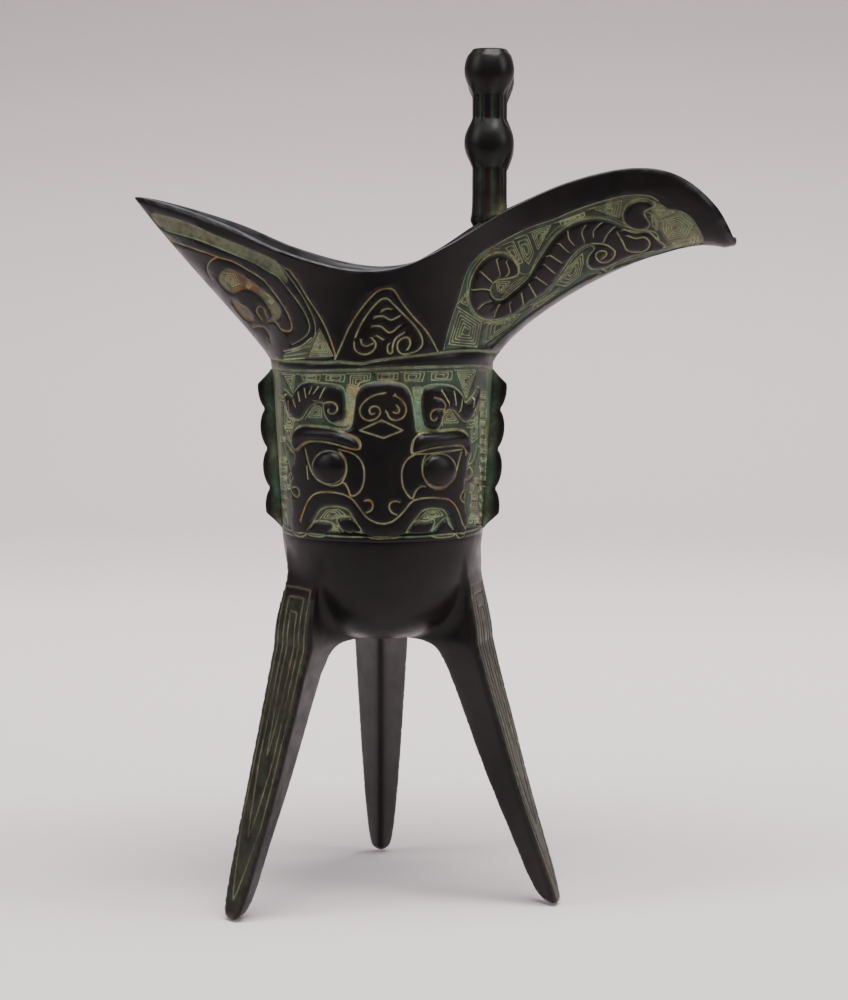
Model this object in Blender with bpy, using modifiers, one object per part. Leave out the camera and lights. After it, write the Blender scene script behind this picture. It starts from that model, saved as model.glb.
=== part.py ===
# Bronze jue: a cast wine vessel on three blade legs, with a spout, a tail, two capped posts,
# two scalloped flanges, a mask on its band and a strap handle at the back.
# Lengths are in millimetres until a mesh is made: x toward the spout, y to the back, z up.

import math

import bmesh
import bpy
import numpy as np
from mathutils import Vector, geometry, kdtree

MM = 0.001

# Cup, from the floor up: each height stands on the one below it.
bowl_bottom = 66.0
bowl_depth = 26.8
band_height = 42.0
flare_height = 23.0
band_radius = 25.0
neck_spread = 2.5
bowl_taper = 0.12
wall = 2.6
tip_wall = 1.7

# Mouth, spout and tail, measured out from the neck and up from the mouth
spout_run = 59.1
tail_run = 33.6
mouth_spread = 3.2
spout_rise = 24.1
tail_rise = 17.3
rim_crown = 0.4
rim_wall = 2.1

# Legs
leg_splay = 19.6
leg_stand_out = 0.9
leg_top_gap = 1.8
leg_width = 14.0
leg_depth = 15.0
leg_edge = 0.9
# One value for each leg, under the tail, under the spout and at the back.
leg_angles = (216.6, 348.2, 93.7)
leg_facings = (221.0, 344.0, 92.0)
leg_girths = (1.13, 0.97, 1.0)
leg_bows = (0.2, 1.4, 1.0)

# Posts, measured from the rim under them
post_height = 40.5
post_setback = 1.0
post_inset = 3.5
post_collar = 0.7
post_sink = 9.3
post_shaft_radius = 4.0
post_bulb_radius = 5.9
post_bulb_half = 5.4
post_bulb_drops = (5.1, 22.1)
post_sides = 16
post_rows = 17

# Flanges
flange_top_gap = 1.8
flange_bottom_gap = 0.8
flange_reach = 3.8
flange_notch = 1.9
flange_thickness = 3.0
flange_edge = 0.6
flange_lobes = 4

# Handle
handle_width = 7.0
handle_reach = 15.5
handle_thickness = 4.6
handle_top_gap = 7.8
handle_bottom_gap = 3.7
handle_edge = 0.9

# Relief
plate_rise = 0.6
brow_rise = 0.5
fang_rise = 0.4
eye_rise = 1.5
eye_radius = 4.1
plate_slope = 0.5
dragon_half_width = 2.7
curl_half_width = 2.0
mask_turn = 3.6

# Mesh
columns = 28
outline_step = 4.0
clear_of_outline = 1.3
flare_skin_length = 33.0

band_bottom = bowl_bottom + bowl_depth
neck_height = band_bottom + band_height
mouth_height = neck_height + flare_height
neck_radius = band_radius + neck_spread
band_middle_radius = (band_radius + neck_radius) / 2
spout_reach = neck_radius + spout_run
tail_reach = neck_radius + tail_run
mouth_half_width = neck_radius + mouth_spread
leg_root_reach = band_radius + leg_stand_out
leg_spread = leg_root_reach + leg_splay
leg_top = band_bottom - leg_top_gap
flange_top = neck_height - flange_top_gap
flange_bottom = band_bottom + flange_bottom_gap
handle_top = neck_height - handle_top_gap
handle_bottom = band_bottom + handle_bottom_gap
post_x = neck_radius - post_setback

# Rim, from the spout's tip to the tail's tip, as shares of the reach, the half width and the rise.
spout_rim = (
    (1.00, 0.00, 0.25),
    (0.94, 0.29, 0.62),
    (0.83, 0.435, 0.925),
    (0.70, 0.50, 1.0),
    (0.53, 0.60, 0.866),
    (0.355, 0.775, 0.58),
    (0.20, 0.92, 0.245),
    (0.06, 0.985, 0.025),
)
tail_rim = (
    (0.12, 0.98, 0.01),
    (0.385, 0.84, 0.265),
    (0.606, 0.603, 0.605),
    (0.80, 0.34, 0.84),
    (0.94, 0.13, 0.975),
    (1.00, 0.0, 1.0),
)
# Inner control points of the keels, as shares of their run from the neck to the tip.
spout_keel = ((0.092, 0.38), (0.643, 1.065))
tail_keel = ((0.06, 0.13), (0.685, 0.645))

# Leg sections, as (height, width, depth) in shares of the bowl's bottom, the width and the depth.
leg_sections = (
    (0.0, 0.24, 0.21),
    (0.02, 0.33, 0.28),
    (0.06, 0.42, 0.35),
    (0.12, 0.50, 0.39),
    (0.27, 0.63, 0.44),
    (0.51, 0.77, 0.56),
    (0.75, 0.89, 0.67),
    (0.88, 0.95, 0.79),
    (0.95, 0.98, 0.93),
    (1.0, 1.0, 1.15),
)
# Root sections inside the bowl's wall, as (rise, step in) in wall thicknesses from the bowl's bottom
# and the root, and (width, depth) in shares.
leg_root_sections = (
    (1.12, 0.385, 1.0, 0.85),
    (3.4, 0.885, 1.0, 0.3),
)
# Ends of the tongue that runs up inside the wall, as (drop from the leg's top, step in from the
# band) in wall thicknesses, width in shares and depth in wall thicknesses.
leg_tongue_sections = (
    (2.3, 0.815, 0.92, 0.5),
    (0.0, 0.738, 0.7, 0.4),
)

# Handle, as (out, down) in shares of its reach and its height, and its thickness along it.
handle_route = (
    (0.0, 0.033),
    (0.30, 0.007),
    (0.72, 0.02),
    (0.964, 0.13),
    (1.0, 0.40),
    (0.881, 0.68),
    (0.468, 0.90),
)
handle_end_drop = 0.94
handle_thicknesses = (1.1, 1.25, 1.3, 1.1, 0.8, 0.75, 0.85, 1.0)


def smooth(value):
    value = np.clip(value, 0.0, 1.0)
    return value * value * (3.0 - 2.0 * value)


def spline(points, closed, per_span):
    # A Catmull-Rom curve through the points.
    points = np.array(points, float)
    if closed:
        run = np.vstack([points[-1:], points, points[:2]])
    else:
        first = 2 * points[0] - points[1]
        last = 2 * points[-1] - points[-2]
        run = np.vstack([first, points, last])
    curve = []
    for a, b, c, d in zip(run[:-3], run[1:-2], run[2:-1], run[3:]):
        for t in np.linspace(0.0, 1.0, per_span, endpoint=False):
            curve.append(
                0.5 * (2 * b + (c - a) * t + (2 * a - 5 * b + 4 * c - d) * t**2
                       + (3 * b - a - 3 * c + d) * t**3)
            )
    if not closed:
        curve.append(points[-1])
    return np.array(curve)


def bezier(start, first, second, end, count):
    t = np.linspace(0.0, 1.0, count)[:, None]
    start, first, second, end = (np.array(p, float) for p in (start, first, second, end))
    return ((1 - t) ** 3 * start + 3 * (1 - t) ** 2 * t * first
            + 3 * (1 - t) * t**2 * second + t**3 * end)


def rim_curve():
    # The rim's near half from tip to tail, as x, half width and z.
    stations = [
        (x * spout_reach, y * mouth_half_width, mouth_height + z * spout_rise)
        for x, y, z in spout_rim
    ]
    stations += [
        (-x * tail_reach, y * mouth_half_width, mouth_height + z * tail_rise)
        for x, y, z in tail_rim
    ]
    far = [(x, -y, z) for x, y, z in stations[1:-1]]
    whole = spline(stations + far[::-1], True, 40)
    return whole[: 40 * (len(stations) - 1) + 1]


def keel_curve(side, reach, end_height, shares):
    run = reach - neck_radius
    climb = end_height - neck_height
    inner = [
        (side * (neck_radius + x * run), neck_height + z * climb)
        for x, z in shares
    ]
    return bezier((side * neck_radius, neck_height), *inner, (side * reach, end_height), 800)


rim = rim_curve()
rim_steps = np.linalg.norm(np.diff(rim, axis=0), axis=1)
rim_share = np.concatenate([[0.0], np.cumsum(rim_steps)]) / rim_steps.sum()
spout_line = keel_curve(1, spout_reach, rim[0, 2], spout_keel)
tail_line = keel_curve(-1, tail_reach, rim[-1, 2], tail_keel)
keel_share = np.linspace(0.0, 1.0, len(spout_line))
rim_station = neck_height + flare_skin_length
rim_half_at_post = float(np.interp(-post_x, -rim[:, 0], rim[:, 1]))
rim_height_at_post = float(np.interp(-post_x, -rim[:, 0], rim[:, 2]))
post_y = rim_half_at_post - post_inset
post_top = rim_height_at_post + post_height
post_foot = rim_height_at_post - post_sink


def half_width(x, z):
    # Distance of the flare's skin from the middle plane, for a place in the side view.
    rim_y = np.interp(-x, -rim[:, 0], rim[:, 1])
    rim_z = np.interp(-x, -rim[:, 0], rim[:, 2])
    spout_z = np.interp(x, spout_line[:, 0], spout_line[:, 1])
    tail_z = np.interp(-x, -tail_line[:, 0], tail_line[:, 1])
    low = np.where(x > neck_radius, spout_z, np.where(x < -neck_radius, tail_z, neck_height))
    v = np.clip((z - low) / np.maximum(rim_z - low, 1e-6), 0.0, 1.0)
    trough = 0.8 * (1.0 - (1.0 - v) ** 1.8) + 0.2 * v
    trumpet = v**1.7
    away = smooth((np.abs(x) - 0.7 * neck_radius) / (0.8 * neck_radius))
    bulge = trumpet + (trough - trumpet) * away
    neck = np.maximum(neck_radius**2 - x**2, 0.0)
    return np.sqrt(neck + (rim_y**2 - neck) * bulge)


def flare(theta, t):
    # The skin above the neck: theta runs from the spout's keel to the tail's, t from neck to rim.
    share = 0.5 - 0.5 * np.cos(theta)
    rim_x = np.interp(share, rim_share, rim[:, 0])
    rim_z = np.interp(share, rim_share, rim[:, 2])
    near = (1.0 - share) ** 1.5
    far = share**1.5
    place = []
    for axis, low, high, tip, tail in (
        (0, neck_radius * np.cos(theta), rim_x, spout_line, tail_line),
        (1, neck_height, rim_z, spout_line, tail_line),
    ):
        value = (1 - t) * low + t * high
        for weight, line in ((near, tip), (far, tail)):
            straight = (1 - t) * line[0, axis] + t * line[-1, axis]
            value = value + weight * (np.interp(t, keel_share, line[:, axis]) - straight)
        place.append(value)
    x, z = place
    middle = np.abs(np.sin(theta)) < 1e-6
    y = np.where(middle, 0.0, half_width(x, z))
    return np.stack([x, -np.sign(np.sin(theta)) * y, z], axis=-1)


def band(theta, z):
    share = (z - band_bottom) / (neck_height - band_bottom)
    radius = band_radius + (neck_radius - band_radius) * share
    return np.stack([radius * np.cos(theta), -radius * np.sin(theta), z], axis=-1)


def skin(theta, station):
    # A station is a height up to the neck, and above it runs on to the rim.
    theta, station = np.broadcast_arrays(np.asarray(theta, float), np.asarray(station, float))
    t = np.clip((station - neck_height) / flare_skin_length, 0.0, 1.0)
    low = band(theta, np.minimum(station, neck_height))
    return np.where((station > neck_height)[..., None], flare(theta, t), low)


def skin_normal(theta, station):
    theta, station = np.broadcast_arrays(np.asarray(theta, float), np.asarray(station, float))
    turn = 0.01
    climb = 0.3
    around = skin(theta + turn, station) - skin(theta - turn, station)
    below = np.maximum(station - climb, band_bottom)
    above = np.minimum(station + climb, rim_station)
    up = skin(theta, above) - skin(theta, below)
    normal = np.cross(up, around)
    return normal / np.linalg.norm(normal, axis=-1, keepdims=True), up


def wall_at(theta, station):
    t = np.clip((station - neck_height) / flare_skin_length, 0.0, 1.0)
    return wall + (tip_wall - wall) * t**2 * np.cos(theta) ** 4


def inner_rim(thetas):
    # The mouth's inner edge: level with the rim along the sides, above the floor at the spout's tip.
    share = 0.5 - 0.5 * np.cos(thetas)
    before, after = np.clip(share - 0.004, 0, 1), np.clip(share + 0.004, 0, 1)
    run_x = np.interp(after, rim_share, rim[:, 0]) - np.interp(before, rim_share, rim[:, 0])
    run_y = np.interp(after, rim_share, rim[:, 1]) - np.interp(before, rim_share, rim[:, 1])
    ends = np.abs(np.sin(thetas)) < 1e-6
    run_x = np.where(ends, 0.0, run_x)
    run_y = np.where(ends, np.cos(thetas), run_y)
    level = np.stack([-run_y, -run_x, 0 * run_x], axis=1)
    level /= np.linalg.norm(level, axis=1, keepdims=True)
    normal, _ = skin_normal(thetas, rim_station)
    tip = (np.maximum(np.cos(thetas), 0.0) ** 12)[:, None]
    inward = level * (1 - tip) - normal * tip
    inward /= np.linalg.norm(inward, axis=1, keepdims=True)
    thickness = rim_wall + (tip_wall - rim_wall) * np.cos(thetas) ** 4
    return skin(thetas, rim_station) + inward * thickness[:, None]


def bowl_profile(share):
    # Radius and height of the bowl under the band, by share of the way down.
    radius = band_radius * (1 - bowl_taper * share) * (1 - share**3) ** 0.4
    return radius, band_bottom - share * (band_bottom - bowl_bottom)


# Outlines of the mask, in degrees round the band from its middle and in shares of its height.
# Each is drawn for the spout's side and repeated on the tail's side.
horn = (
    (63.73, 0.8738), (61.99, 0.7714), (55.88, 0.7), (51.95, 0.681), (48.24, 0.7048), (41.91, 0.769),
    (34.05, 0.7762), (31.43, 0.7), (29.03, 0.6714), (24.88, 0.6667), (21.61, 0.6905),
    (20.52, 0.7548), (20.95, 0.8333), (23.35, 0.8881), (28.81, 0.9024), (39.29, 0.9024),
    (45.84, 0.8667), (51.08, 0.819), (57.19, 0.8119),
)
brow = (
    (13.53, 0.5333), (14.41, 0.5857), (17.46, 0.6214), (25.32, 0.6357), (32.74, 0.6405),
    (40.82, 0.6452), (47.36, 0.6286), (51.08, 0.5714), (50.2, 0.519), (44.96, 0.5571),
    (36.67, 0.5595), (26.19, 0.55),
)
face_side = (
    (0, 0.919), (7.86, 0.9048), (12.66, 0.8571), (15.06, 0.769), (16.15, 0.6857), (17.46, 0.6476),
    (25.32, 0.6595), (40.82, 0.6667), (48.89, 0.6476), (53.04, 0.5762), (52.38, 0.4571),
    (53.69, 0.2667), (53.26, 0.0952), (48.89, 0.0262), (45.84, 0.0476), (41.69, 0.1024),
    (36.67, 0.1762), (31.21, 0.2143), (24.01, 0.2143), (19.21, 0.1952), (16.37, 0.1476),
    (11.35, 0.069), (5.46, 0.0357), (0, 0.031),
)
outer_fang = (
    (43.44, 0.0357), (38.85, 0.0905), (29.03, 0.1024), (30.12, 0.0619), (34.7, 0.0357),
)
inner_fang = (
    (25.54, 0.1238), (18.77, 0.1429), (14.41, 0.0738), (18.33, 0.0524), (23.14, 0.0857),
)
eye_place = (29.47, 0.419)

# Outlines on the flare, seen from the side, in shares of a run along x and of the climb from the neck:
# the blade's of the neck's radius and the flare, the dragon's of the spout, the curl's of the tail.
blade = (
    (-0.436, 0.0957), (0.051, 0.9217), (0.553, 0.1826),
)
dragon_spine = (
    (0.323, 0.3864), (0.27, 0.4713), (0.296, 0.5563), (0.358, 0.5393), (0.386, 0.4289),
    (0.353, 0.3142), (0.423, 0.3779), (0.487, 0.5096), (0.554, 0.6285), (0.626, 0.6454),
    (0.693, 0.6115),
)
dragon_width = (0.44, 0.67, 0.78, 0.85, 0.89, 0.96, 1.0, 0.96, 0.89, 0.74, 0.52)
dragon_head = (
    (0.687, 0.7367), (0.733, 0.7665), (0.785, 0.7473), (0.831, 0.6837), (0.814, 0.6115),
    (0.762, 0.5987), (0.716, 0.6327),
)
tail_spine = (
    (-0.704, 0.7196), (-0.615, 0.6501), (-0.53, 0.536), (-0.471, 0.3921), (-0.481, 0.268),
    (-0.537, 0.3325),
)
tail_width = (0.45, 0.8, 1.0, 1.0, 0.8, 0.4)


def on_band(outline, side=1):
    # Millimetres round the band from the mask's middle, and up from the band's foot.
    return [
        (side * math.radians(x) * band_middle_radius, z * band_height)
        for x, z in outline
    ]


def on_flare(outline, reach, climb):
    return [(x * reach, neck_height + z * climb) for x, z in outline]


def band_to_station(points):
    points = np.array(points, float)
    theta = math.pi / 2 - math.radians(mask_turn) - points[:, 0] / band_middle_radius
    return np.stack([theta, band_bottom + points[:, 1]], axis=1)


def flare_finder():
    # A lookup from the side view to theta and t.
    thetas = np.linspace(0.02, math.pi - 0.02, 160)
    shares = np.linspace(0.0, 1.0, 60)
    grid = np.stack(np.meshgrid(thetas, shares, indexing="ij"), axis=-1).reshape(-1, 2)
    places = flare(grid[:, 0], grid[:, 1])
    tree = kdtree.KDTree(len(grid))
    for i, place in enumerate(places):
        tree.insert((place[0], place[2], 0.0), i)
    tree.balance()
    return tree, grid


def flare_to_station(points, finder):
    tree, grid = finder
    found = []
    for x, z in points:
        theta, t = grid[tree.find((x, z, 0.0))[1]]
        for _ in range(4):
            here = flare(np.array([theta, theta + 1e-3, theta]), np.array([t, t, t - 1e-3]))
            across = (here[1] - here[0])[[0, 2]] / 1e-3
            along = (here[0] - here[2])[[0, 2]] / 1e-3
            step = np.linalg.solve(np.stack([across, along], axis=1), np.array([x, z]) - here[0, [0, 2]])
            theta = float(np.clip(theta + step[0], 0.03, math.pi - 0.03))
            t = float(np.clip(t + step[1], 0.02, 0.97))
        found.append((theta, neck_height + t * flare_skin_length))
    return np.array(found)


def ribbon(spine, widths, half_size):
    # The outline of a band that follows a curve, its widths in shares of its half size.
    middle = spline(spine, False, 3)
    half = np.interp(np.linspace(0, 1, len(middle)), np.linspace(0, 1, len(widths)), widths)
    along = np.gradient(middle, axis=0)
    along /= np.linalg.norm(along, axis=1, keepdims=True)
    side = np.stack([-along[:, 1], along[:, 0]], axis=1) * (half * half_size)[:, None]
    return np.vstack([middle + side, (middle - side)[::-1]])


def circle(middle, radius, count):
    angles = np.linspace(0, 2 * math.pi, count, endpoint=False)
    return np.stack([middle[0] + radius * np.cos(angles), middle[1] + radius * np.sin(angles)], axis=1)


def loop_area(loop):
    following = np.roll(loop, -1, axis=0)
    return 0.5 * np.sum(loop[:, 0] * following[:, 1] - following[:, 0] * loop[:, 1])


def counterclockwise(loop):
    loop = np.array(loop, float)
    return loop if loop_area(loop) > 0 else loop[::-1]


def inset(loop, distance):
    # The loop moved inward by the distance, with its corners mitred.
    before = loop - np.roll(loop, 1, axis=0)
    after = np.roll(loop, -1, axis=0) - loop
    before /= np.linalg.norm(before, axis=1, keepdims=True)
    after /= np.linalg.norm(after, axis=1, keepdims=True)
    normal = np.stack([-(before + after)[:, 1], (before + after)[:, 0]], axis=1)
    length = np.linalg.norm(normal, axis=1, keepdims=True)
    normal = np.where(length > 0.3, normal / np.maximum(length, 1e-9), 0.0)
    sharpness = np.maximum(np.abs(np.sum(normal * np.stack([-after[:, 1], after[:, 0]], 1), axis=1)), 0.6)
    return loop + normal * (distance / sharpness)[:, None]


def divide(loop, step):
    # The loop with its long sides divided, so that it can follow a curved skin.
    out = []
    for a, b in zip(loop, np.roll(loop, -1, axis=0)):
        parts = max(1, int(math.ceil(np.linalg.norm(b - a) / step)))
        out += [a + (b - a) * i / parts for i in range(parts)]
    return np.array(out)


def distance_inside(points, loop):
    # How far each point is inside the loop, or 0 outside it.
    a = loop
    b = np.roll(loop, -1, axis=0)
    side = b - a
    to_point = points[:, None] - a[None]
    along = np.clip((to_point * side).sum(-1) / (side * side).sum(-1), 0, 1)
    gap = np.linalg.norm(to_point - along[..., None] * side, axis=-1).min(axis=1)
    x, y = points[:, 0, None], points[:, 1, None]
    crosses = (a[:, 1] > y) != (b[:, 1] > y)
    rise = np.where(b[:, 1] == a[:, 1], 1e-9, b[:, 1] - a[:, 1])
    at = a[:, 0] + (y - a[:, 1]) / rise * side[:, 0]
    inside = (crosses & (x < at)).sum(axis=1) % 2 == 1
    return np.where(inside, gap, 0.0), gap


def mirrored_plates():
    # Every raised plate of the band as (outline, rise, slope).
    face = on_band(face_side) + on_band(face_side[-2:0:-1], -1)
    plates = [(face, plate_rise, plate_slope)]
    for side in (1, -1):
        for outline, rise in (
            (horn, plate_rise),
            (brow, brow_rise),
            (outer_fang, fang_rise),
            (inner_fang, fang_rise),
        ):
            plates.append((on_band(outline, side), rise, plate_slope))
        eye = circle(on_band([eye_place], side)[0], eye_radius, 14)
        plates.append((eye, eye_rise, 0.75 * eye_radius))
    return plates


def flare_plates():
    spout_climb = flare_height + spout_rise
    tail_climb = flare_height + tail_rise
    dragon = on_flare(dragon_spine, spout_reach, spout_climb)
    head = on_flare(dragon_head, spout_reach, spout_climb)
    curl = on_flare(tail_spine, tail_reach, tail_climb)
    return [
        (on_flare(blade, neck_radius, flare_height), plate_rise, plate_slope),
        (ribbon(dragon, dragon_width, dragon_half_width), plate_rise, plate_slope),
        (head, plate_rise, plate_slope),
        (ribbon(curl, tail_width, curl_half_width), plate_rise, plate_slope),
    ]


def relief():
    # Every plate as loops at its foot and its top, in theta and station, with its rise.
    finder = flare_finder()
    placed = []
    for plates, place in (
        (mirrored_plates(), band_to_station),
        (flare_plates(), lambda points: flare_to_station(points, finder)),
    ):
        for outline, rise, slope in plates:
            foot = divide(counterclockwise(outline), outline_step)
            top = inset(foot, slope)
            foot, top = place(foot), place(top)
            placed.append((foot, top, rise, slope))
    return placed


def flat(stations):
    # Theta and station as a plane in millimetres, for making triangles and measuring.
    return np.stack([-stations[:, 0] * neck_radius, stations[:, 1]], axis=1)


def unflat(points):
    return np.stack([-points[:, 0] / neck_radius, points[:, 1]], axis=1)


def rise_at(points, plates):
    height = np.zeros(len(points))
    for foot, top, rise, slope in plates:
        foot, top = flat(foot), flat(top)
        depth, _ = distance_inside(points, foot)
        within, gap = distance_inside(points, top)
        between = depth / np.maximum(depth + gap, 1e-9)
        height += rise * np.where((within > 0) | (gap < 1e-3), 1.0, between * (depth > 1e-3))
    return height


def carved_half(plates):
    # Triangles over the near half of the band and the flare, with every plate's loops as edges.
    thetas = np.linspace(0.0, math.pi, columns + 1)
    rows = np.concatenate([
        np.linspace(band_bottom, neck_height, 5),
        neck_height + flare_skin_length * np.array([0.12, 0.28, 0.46, 0.64, 0.82, 1.0]),
    ])
    grid = np.stack(np.meshgrid(thetas, rows, indexing="ij"), axis=-1).reshape(-1, 2)
    edge = (np.isin(grid[:, 0], thetas[[0, -1]]) | np.isin(grid[:, 1], rows[[0, -1]]))
    points = flat(grid)
    near = np.full(len(points), np.inf)
    loops = [flat(loop) for foot, top, _, _ in plates for loop in (foot, top)]
    for loop in loops:
        near = np.minimum(near, distance_inside(points, loop)[1])
    points = points[edge | (near > clear_of_outline)]
    edges = []
    count = len(points)
    for loop in loops:
        edges += [(count + i, count + (i + 1) % len(loop)) for i in range(len(loop))]
        count += len(loop)
    cloud = [Vector(p) for p in np.vstack([points] + loops)]
    corners, _, faces, _, _, _ = geometry.delaunay_2d_cdt(cloud, edges, [], 0, 1e-4)
    corners = np.array([tuple(c) for c in corners])
    stations = unflat(corners)
    stations[:, 0] = np.clip(stations[:, 0], 0.0, math.pi)
    normals, _ = skin_normal(stations[:, 0], stations[:, 1])
    places = skin(stations[:, 0], stations[:, 1]) + normals * rise_at(corners, plates)[:, None]
    return places, faces


def add_rows(mesh, rows):
    # Quads between neighbouring rows of equal length.
    verts = [[mesh.verts.new(Vector(p) * MM) for p in row] for row in rows]
    for low, high in zip(verts, verts[1:]):
        for i in range(len(low) - 1):
            mesh.faces.new((low[i], low[i + 1], high[i + 1], high[i]))
    return verts


def cup_half():
    mesh = bmesh.new()
    plates = relief()
    places, faces = carved_half(plates)
    verts = [mesh.verts.new(Vector(p) * MM) for p in places]
    for face in faces:
        mesh.faces.new([verts[i] for i in face])

    thetas = np.linspace(0.0, math.pi, columns + 1)

    def ring(radius, height):
        return [(radius * math.cos(a), -radius * math.sin(a), height) for a in thetas]

    shares = (0.0, 0.2, 0.4, 0.6, 0.75, 0.87, 0.95, 0.985)
    outside = [ring(*bowl_profile(share)) for share in shares]
    outside.append(ring(0.18 * band_radius, bowl_bottom))
    made = add_rows(mesh, outside)
    mesh.faces.new(made[-1])

    inner_rows = [inner_rim(thetas)]
    for station in (
        *(neck_height + flare_skin_length * np.array([0.85, 0.68, 0.5, 0.32, 0.15, 0.0])),
        *np.linspace(neck_height, band_bottom, 4)[1:],
    ):
        normal, _ = skin_normal(thetas, station)
        inner_rows.append(skin(thetas, station) - normal * wall_at(thetas, station)[:, None])
    for share in shares[2:]:
        radius, height = bowl_profile(share)
        beyond, lower = bowl_profile(share + 1e-3)
        slope = math.hypot(beyond - radius, lower - height)
        out = (height - lower) / slope
        down = (radius - beyond) / slope
        inner_rows.append(ring(radius - out * wall, height + down * wall))
    made = add_rows(mesh, inner_rows)
    mesh.faces.new(made[-1])

    _, up = skin_normal(thetas, rim_station)
    up /= np.linalg.norm(up, axis=1, keepdims=True)
    outer_rim = skin(thetas, rim_station)
    crown = (outer_rim + inner_rows[0]) / 2 + up * rim_crown
    add_rows(mesh, [outer_rim, crown, inner_rows[0]])

    bmesh.ops.remove_doubles(mesh, verts=mesh.verts, dist=1e-3 * MM)
    for vert in mesh.verts:
        if abs(vert.co.y) < 1e-3 * MM:
            vert.co.y = 0.0
    bmesh.ops.recalc_face_normals(mesh, faces=mesh.faces)
    return mesh


def new_object(name, mesh, collection):
    data = bpy.data.meshes.new(name)
    mesh.to_mesh(data)
    mesh.free()
    made = bpy.data.objects.new(name, data)
    collection.objects.link(made)
    return made


def leg(index, collection):
    # One blade leg: a flat outer face, two faces that meet in a ridge behind it, a leaf-shaped tip.
    angle = math.radians(leg_angles[index])
    facing = math.radians(leg_facings[index])
    out = np.array([math.cos(facing), math.sin(facing)])
    across = np.array([-out[1], out[0]])
    sections = []
    for height, width, depth in leg_sections:
        reach = leg_spread + (leg_root_reach - leg_spread) * height
        reach -= 4 * leg_bows[index] * height * (1 - height)
        girth = leg_girths[index] * (1 - height) + height
        sections.append(
            (height * bowl_bottom, reach, girth * width * leg_width, girth * depth * leg_depth)
        )
    for rise, step_in, width, depth in leg_root_sections:
        sections.append(
            (bowl_bottom + rise * wall, leg_root_reach - step_in * wall,
             width * leg_width, depth * leg_depth)
        )
    for drop, step_in, width, depth in leg_tongue_sections:
        sections.append(
            (leg_top - drop * wall, band_radius - step_in * wall, width * leg_width, depth * wall)
        )
    mesh = bmesh.new()
    rows = []
    for height, reach, width, depth in sections:
        middle = reach * np.array([math.cos(angle), math.sin(angle)])
        corners = (
            middle + across * width / 2,
            middle - across * width / 2,
            middle - out * depth,
        )
        row = []
        for i, corner in enumerate(corners):
            for other in (corners[i - 1], corners[(i + 1) % 3]):
                side = other - corner
                length = np.linalg.norm(side)
                cut = min(leg_edge, 0.3 * length)
                row.append((*(corner + side / length * cut), height))
        rows.append(row)
    verts = [[mesh.verts.new(Vector(p) * MM) for p in row] for row in rows]
    for low, high in zip(verts, verts[1:]):
        for i in range(len(low)):
            j = (i + 1) % len(low)
            mesh.faces.new((low[i], low[j], high[j], high[i]))
    mesh.faces.new(verts[0])
    mesh.faces.new(verts[-1])
    bmesh.ops.recalc_face_normals(mesh, faces=mesh.faces)
    return new_object(f"leg_{index + 1}", mesh, collection)


def post_profile():
    # Half outline of a post from the middle of its flat top down to the point of its foot.
    bulb_heights = [post_top - drop for drop in post_bulb_drops]
    heights = np.linspace(post_top, bulb_heights[1] - 1.2 * post_bulb_half, post_rows)
    outline = [(0.0, post_top)]
    for height in heights:
        radius = post_shaft_radius
        for middle in bulb_heights:
            share = abs(height - middle) / post_bulb_half
            if share < 1.0:
                swell = math.cos(share * math.pi / 2) ** 0.8
                radius = post_shaft_radius + (post_bulb_radius - post_shaft_radius) * swell
        outline.append((radius, height))
    outline.append((post_shaft_radius, rim_height_at_post + post_collar))
    outline.append((0.3 * post_shaft_radius, post_foot))
    outline.append((0.0, post_foot))
    return outline


def post(side, collection):
    mesh = bmesh.new()
    verts = [mesh.verts.new(Vector((r, 0.0, z)) * MM) for r, z in post_profile()]
    for a, b in zip(verts, verts[1:]):
        mesh.edges.new((a, b))
    made = new_object("post_near" if side < 0 else "post_far", mesh, collection)
    made.location = Vector((post_x, side * post_y, 0.0)) * MM
    screw = made.modifiers.new("turn", "SCREW")
    screw.steps = post_sides
    screw.render_steps = post_sides
    screw.use_merge_vertices = True
    screw.merge_threshold = 0.00001
    return made


def outline_solid(name, outline, thickness, edge, collection):
    # A flat outline with thickness and softened edges, standing in its own xy plane.
    curve = bpy.data.curves.new(name, "CURVE")
    curve.dimensions = "2D"
    curve.fill_mode = "BOTH"
    curve.extrude = (thickness / 2 - edge) * MM
    curve.bevel_depth = edge * MM
    curve.bevel_resolution = 1
    run = curve.splines.new("POLY")
    run.points.add(len(outline) - 1)
    for point, (x, y) in zip(run.points, inset(counterclockwise(outline), edge)):
        point.co = (x * MM, y * MM, 0.0, 1.0)
    run.use_cyclic_u = True
    drawn = bpy.data.objects.new(name + "_outline", curve)
    collection.objects.link(drawn)
    bpy.context.view_layer.update()
    graph = bpy.context.evaluated_depsgraph_get()
    data = bpy.data.meshes.new_from_object(drawn.evaluated_get(graph))
    mesh = bmesh.new()
    mesh.from_mesh(data)
    bmesh.ops.remove_doubles(mesh, verts=mesh.verts, dist=1e-3 * MM)
    bmesh.ops.recalc_face_normals(mesh, faces=mesh.faces)
    bpy.data.objects.remove(drawn)
    bpy.data.meshes.remove(data)
    return new_object(name, mesh, collection)


def body_radius(height):
    share = (height - band_bottom) / (neck_height - band_bottom)
    return band_radius + (neck_radius - band_radius) * share


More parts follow.
